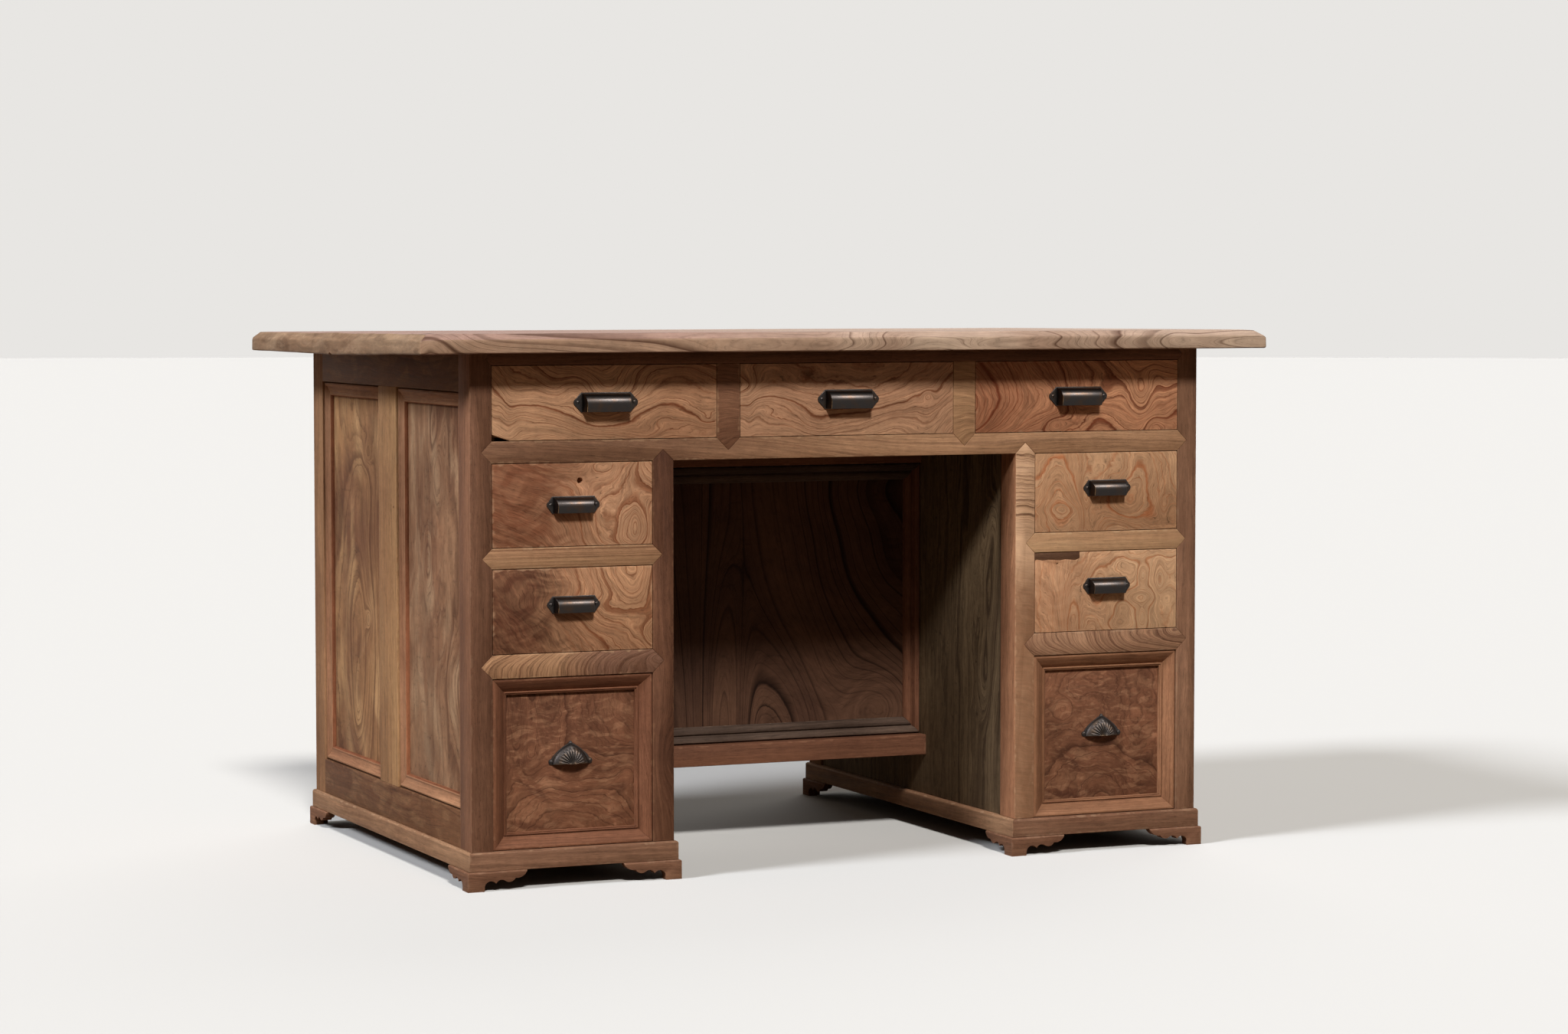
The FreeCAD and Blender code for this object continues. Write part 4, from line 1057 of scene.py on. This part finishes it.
for drawer, figure in burl.items():
    low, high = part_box(drawer + "_panel")
    board = solid(drawer + "_burl", low, high)
    soften(board, side_ease)
    seat(board, drawer + "_panel")
    dress([board], elm(drawer + "_burl_wood", "xyz", (124, 82, 59), (93, 59, 42),
                       (57, 32, 22), unlike=False, bends=((12, 26, 0.7), (44, 70, 0.3), (120, 150, 0.1)),
                       ink=0.75, fade=0.24, edge=0.07, between=0.9, cloud=0.55, rough=0.55, fibre=0.16,
                       streaks=((16, 0.56, 0.72, 0.5, (66, 40, 30)), (22, 0.50, 0.70, 0.3, (150, 108, 80)),
                                (44, 0.52, 0.66, 0.36, (156, 114, 85)),
                                (110, 0.55, 0.70, 0.22, (150, 108, 80))), **figure))
    low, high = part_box(drawer + "_moulding")
    strips = moulding_frame(drawer + "_moulding_strip", deep_profile, high.x - low.x, high.z - low.z,
                            deep_moulding_width, deep_moulding_depth, in_front(low))
    for board in strips:
        seat(board, drawer + "_moulding")
    dress(strips, every_way(drawer + "_moulding_wood", *deep_moulding_tones[drawer], slope=(0, 60, 130),
                            bends=((3, 20, 1.6), (24, 60, 0.35)), ink=0.8, worn=(160, 116, 87)))


# Box pulls on the seven small drawers: a cast plate with rounded ears, a quarter-round
# hood with hipped ends that is open below, and two small domed screws. The bronze is dark,
# and rubbed bright low on the left end.
def bronze(name, dark, brown, rubbed, rough):
    material, tree, surface = new_material(name)
    dark, brown, rubbed = [colour(*tone) for tone in (dark, brown, rubbed)]
    spot = add(tree, "TexCoord").outputs["Object"]
    cast, patch = noise(tree, spot, 420.0, 3.0), noise(tree, spot, 85.0, 3.0)
    wear = add(tree, "Attribute", attribute_name="rubbed").outputs["Fac"]
    wear = maths(tree, "MULTIPLY", wear, spread(tree, patch, 0.35, 0.6, 0.35, 1.0), clamp=True)
    shade = mixed(tree, spread(tree, patch, 0.42, 0.8), dark, brown)
    gloss = spread(tree, plus(tree, cast, wear), 0.3, 1.3, rough, rough - 0.12, "LINEAR")
    bump = add(tree, "Bump", {"Height": cast, "Strength": 0.4, "Distance": 0.00015})
    tree.links.new(mixed(tree, wear, shade, rubbed), surface["Base Color"])
    tree.links.new(gloss, surface["Roughness"])
    tree.links.new(bump.outputs[0], surface["Normal"])
    surface["Metallic"].default_value = 1.0
    return material


pull_bronze = bronze("pull_bronze", (48, 44, 42), (58, 45, 36), (160, 124, 84), 0.36)
plate_thickness = 0.0018
plate_ease = 0.0005
hood_wall = 0.0017
screw_inset = 0.0056
large_pull = {"length": 0.097, "plate": 0.028, "back_length": 0.0725, "front_length": 0.0655,
              "body_height": 0.0268, "reach": 0.016, "ear": 0.0056}
small_pull = {"length": 0.0795, "plate": 0.024, "back_length": 0.0615, "front_length": 0.053,
              "body_height": 0.0228, "reach": 0.014, "ear": 0.005}


def paint_rubbed(thing, worn_at):
    """Marks how rubbed each face is, from 0 to 1."""
    marks = thing.data.attributes.new("rubbed", "FLOAT", "FACE")
    for face, mark in zip(thing.data.polygons, marks.data):
        mark.value = worn_at(face)


def plate_of(name, outline):
    """A cast plate with eased edges. Its back lies on the plane of the drawer's face."""
    plate = drawn_out(name, [(x, 0, z) for x, z in outline], (0, -plate_thickness, 0))
    soften(plate, plate_ease)
    return plate


def screw_head(name, x, z):
    """Half a flattened ball with a slot, standing on the plate."""
    head = basic(bpy.ops.mesh.primitive_uv_sphere_add, name, segments=24, ring_count=12, radius=0.0028)
    with editing(head):
        bpy.ops.transform.resize(value=(1, 0.5, 1))
        slice_with((0, 0, 0), (0, 1, 0), use_fill=True, clear_outer=True)
    cut(head, basic(bpy.ops.mesh.primitive_cube_add, "slot", size=1, location=(0, -0.0014, 0),
                    scale=(0.0048, 0.0009, 0.0007), rotation=(0, 0.6, 0)))
    for vertex in head.data.vertices:
        vertex.co += Vector((x, -plate_thickness, z))
    return head


def box_pull_casting(length, plate, back_length, front_length, body_height, reach, ear):
    half, shoulder, rise = length / 2, back_length / 2 + 0.001, plate / 2
    base = plate_of("pull_plate", arc_points((half - ear, 0), ear, -62, 62, 9)
                    + [(shoulder, rise), (-shoulder, rise)]
                    + arc_points((ear - half, 0), ear, 118, 242, 9)
                    + [(-shoulder, -rise), (shoulder, -rise)])
    hoods = []
    for wall in (0.0, hood_wall):
        radius, top, span = reach - wall, body_height / 2 - wall, back_length - 2 * wall
        back = 0.001 if wall else -0.0004
        low_end = -body_height / 2 - (0.004 if wall else 0)
        crown = arc_points((0.001, top - radius), radius - 0.001, 90, 0, 11)
        side = [(back, top), *((-y, z) for y, z in crown), (0.001 - radius, low_end), (back, low_end)]
        hood = drawn_out("hood", [(-span / 2, y, z) for y, z in side], (span, 0, 0))
        for vertex in hood.data.vertices:
            vertex.co.x *= 1 + vertex.co.y / reach * (1 - front_length / back_length)
        hoods.append(hood)
    cut(*hoods)
    soften(hoods[0], 0.0006, 3)
    cut(base, hoods[0], "UNION")

    def worn_at(face):
        point, normal = face.center, face.normal
        edge = (back_length + (back_length - front_length) * point.y / reach) / 2
        on_end = abs(abs(point.x) - edge) < 0.0012 and 0.25 < abs(normal.x) < 0.9 and normal.y < -0.3
        low_part = smooth(0.3, -0.2, point.z / body_height)
        return on_end * low_part * (1.0 if point.x < 0 else 0.3)
    paint_rubbed(base, worn_at)
    return base


def set_pull(drawer, parts, place, metal):
    """Copies a pull and its screws to a drawer, each with its own mesh."""
    for part in parts:
        piece = bring_in(f"{drawer}_{part.name}", part.data.copy())
        for vertex in piece.data.vertices:
            vertex.co += place
        piece.data.materials.clear()
        piece.data.materials.append(metal)
        seat(piece, drawer + "_pull")


def put_away(parts):
    for part in parts:
        bpy.data.objects.remove(part)


for sizes, drawer_names in ((large_pull, [drawer for drawer in fronts if drawer.startswith("top")]),
                            (small_pull, [drawer for drawer in fronts if not drawer.startswith("top")])):
    casting = box_pull_casting(**sizes)
    casting.name = "hood_pull"
    screw_place = sizes["length"] / 2 - screw_inset
    parts = [casting, screw_head("pull_screw_left", -screw_place, 0),
             screw_head("pull_screw_right", screw_place, 0)]
    shade_round(casting, 40)
    for drawer in drawer_names:
        low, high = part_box(drawer + "_pull")
        middle = (low + high) / 2
        set_pull(drawer, parts, Vector((middle.x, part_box(drawer + "_front")[0].y, middle.z)), pull_bronze)
    put_away(parts)


# Shell pulls on the two deep drawers: a pointed plate with three screws and a half dome
# that is open below, chased with a fan of twelve flutes.
shell_width, shell_height = 0.066, 0.033
shell_ear = 0.004
dome_reach = 0.0128
flute_count = 12
cuts_per_flute = 16


def plate_reach(angle):
    """How far the plate's outline lies from the middle of its lower edge, at an angle."""
    power = 1.25
    across, up = abs(math.cos(angle)), abs(math.sin(angle))
    return shell_width / 2 / (across ** power + up ** power) ** (1 / power)


def shell_plate():
    half, crown = shell_width / 2, 0.003
    shoulder = (half * 0.60, shell_height * 0.56)
    start, end = (half - shell_ear, 2 * shell_ear), (crown, shell_height - crown)
    right = arc_points((half - shell_ear, shell_ear), shell_ear, -90, 90, 9)
    for i in range(1, 10):
        t = i / 9
        bow = 4 * t * (1 - t)
        right.append(tuple(start[k] + (end[k] - start[k]) * t + (shoulder[k] - (start[k] + end[k]) / 2) * bow
                           for k in (0, 1)))
    tip = arc_points((0, shell_height - crown), crown, 60, 120, 5)
    return plate_of("shell_plate", right + tip + [(-x, z) for x, z in reversed(right)])


def shell_casting():
    base = shell_plate()
    dome = basic(bpy.ops.mesh.primitive_uv_sphere_add, "dome", segments=flute_count * cuts_per_flute,
                 ring_count=64, radius=1)
    with editing(dome):
        bpy.ops.transform.rotate(value=math.pi / 2, orient_axis="X", center_override=(0, 0, 0))
        for normal in ((0, 0, -1), (0, 1, 0)):
            slice_with((0, 0, 0), normal, clear_outer=True)
    for vertex in dome.data.vertices:
        x, y, z = vertex.co
        out = math.hypot(x, z)
        angle = math.atan2(z, x)
        petal = abs(math.sin(angle * flute_count))
        wide = 0.5 * (plate_reach(angle) * 0.92 + 0.0255)
        fan = (0.0195 + 0.0025 * max(0.0, math.sin(angle)) ** 2) / wide
        tip_line = fan * (0.84 + 0.16 * petal ** 0.6)
        inside = 1 - smooth(tip_line - 0.04, tip_line, out)
        ridge = inside * (0.0004 + 0.0014 * (petal - 0.5) * smooth(0.05, 0.4, out))
        border = -0.0004 * smooth(tip_line, tip_line + 0.05, out) * (1 - smooth(0.9, 1.0, out))
        lift = 1 + (ridge + border) / dome_reach
        front = -0.0002 if y > -0.02 else y * dome_reach * lift
        vertex.co = (x * wide, front, 0.0008 + z * wide)
    finish_with(dome, "SOLIDIFY", thickness=hood_wall, offset=-1.0)
    pick(base, dome)
    bpy.ops.object.join()
    base.name = "shell_pull"

    def worn_at(face):
        point = face.center
        if point.y >= -0.004:
            return 0.0
        petal = abs(math.sin(math.atan2(point.z, point.x) * flute_count))
        return 0.1 * petal ** 6 * (math.hypot(point.x, point.z) < 0.020) + 0.12 * (point.z < 0.002)
    paint_rubbed(base, worn_at)
    return base


shell = shell_casting()
shade_round(shell, 40)
parts = [shell, screw_head("shell_screw_left", shell_ear - shell_width / 2, shell_ear),
         screw_head("shell_screw_right", shell_width / 2 - shell_ear, shell_ear),
         screw_head("shell_screw_top", 0, shell_height - shell_ear)]
shell_bronze = bronze("shell_bronze", (48, 44, 42), (58, 46, 37), (140, 110, 78), 0.46)
for drawer in burl:
    low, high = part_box(drawer + "_pull")
    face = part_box(drawer + "_panel")[0].y
    set_pull(drawer, parts, Vector(((low.x + high.x) / 2, face, low.z)), shell_bronze)
put_away(parts)


# Floor, light and camera. The key light stands high in front and a little to the left, a
# second lights the left side, a third the back, and the last shows only in gloss. The
# camera and metal see a pale floor and wall, and the rays that light the wood see dim ones.
floor_colour = colour(200, 197, 192)
wall_colour = colour(232, 230, 227)
thrown_colour = colour(108, 90, 74)
dim_colour = (1.0, 0.88, 0.76, 1.0)
dim_strength = 0.12


def seen_rays(tree):
    """1 for the rays that show or mirror a thing to the camera, 0 for those that light it."""
    rays = add(tree, "LightPath").outputs
    shown = maths(tree, "MAXIMUM", rays["Is Camera Ray"], rays["Is Transmission Ray"])
    return maths(tree, "MAXIMUM", shown, rays["Is Glossy Ray"])


def floor_material():
    material, tree, surface = new_material("studio_floor")
    tree.links.new(mixed(tree, seen_rays(tree), thrown_colour, floor_colour), surface["Base Color"])
    surface["Roughness"].default_value = 0.9
    surface["Specular IOR Level"].default_value = 0.0
    return material


floor = basic(bpy.ops.mesh.primitive_circle_add, "studio_floor", vertices=64, radius=40, fill_type="NGON")
floor.data.materials.append(floor_material())
floor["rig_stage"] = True


def sun(name, towards, strength, width, tint=(1.0, 1.0, 1.0)):
    lamp = bpy.data.lights.new(name, "SUN")
    lamp.energy = strength
    lamp.color = tint
    lamp.angle = math.radians(width)
    holder = bring_in(name, lamp)
    holder.rotation_euler = Vector(towards).to_track_quat("-Z", "Y").to_euler()
    return holder


sun("key_light", (0.27, 1.0, -1.02), 3.4, 10)
sun("side_light", (1.0, 0.18, -0.80), 3.0, 14, (0.94, 1.0, 1.1))
sun("back_light", (-0.7, -1.0, -0.8), 0.8, 50)
sun("gloss_light", (-0.40, 0.63, -0.66), 3.8, 12).visible_diffuse = False

world = bpy.data.worlds.new("studio")
bpy.context.scene.world = world
world.use_nodes = True
studio = world.node_tree
ambient = studio.nodes["Background"]
ambient.inputs["Color"].default_value = dim_colour
ambient.inputs["Strength"].default_value = dim_strength
backdrop = add(studio, "Background", {"Color": wall_colour, "Strength": 1.0})
both = add(studio, "MixShader", {0: seen_rays(studio), 1: ambient.outputs[0], 2: backdrop.outputs[0]})
studio.links.new(both.outputs[0], studio.nodes["World Output"].inputs["Surface"])

camera = bpy.data.cameras.new("photo_view")
camera.lens = 87.815
camera.sensor_width = 36.0
camera.clip_end = 200.0
viewer = bring_in("photo_view", camera)
viewer.location = (-2.3088, -5.4001, 0.8446)
viewer.rotation_euler = (math.radians(86.545), 0.0, math.radians(-23.692))
bpy.context.scene.camera = viewer
bpy.context.scene.view_settings.view_transform = "Standard"

low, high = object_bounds()
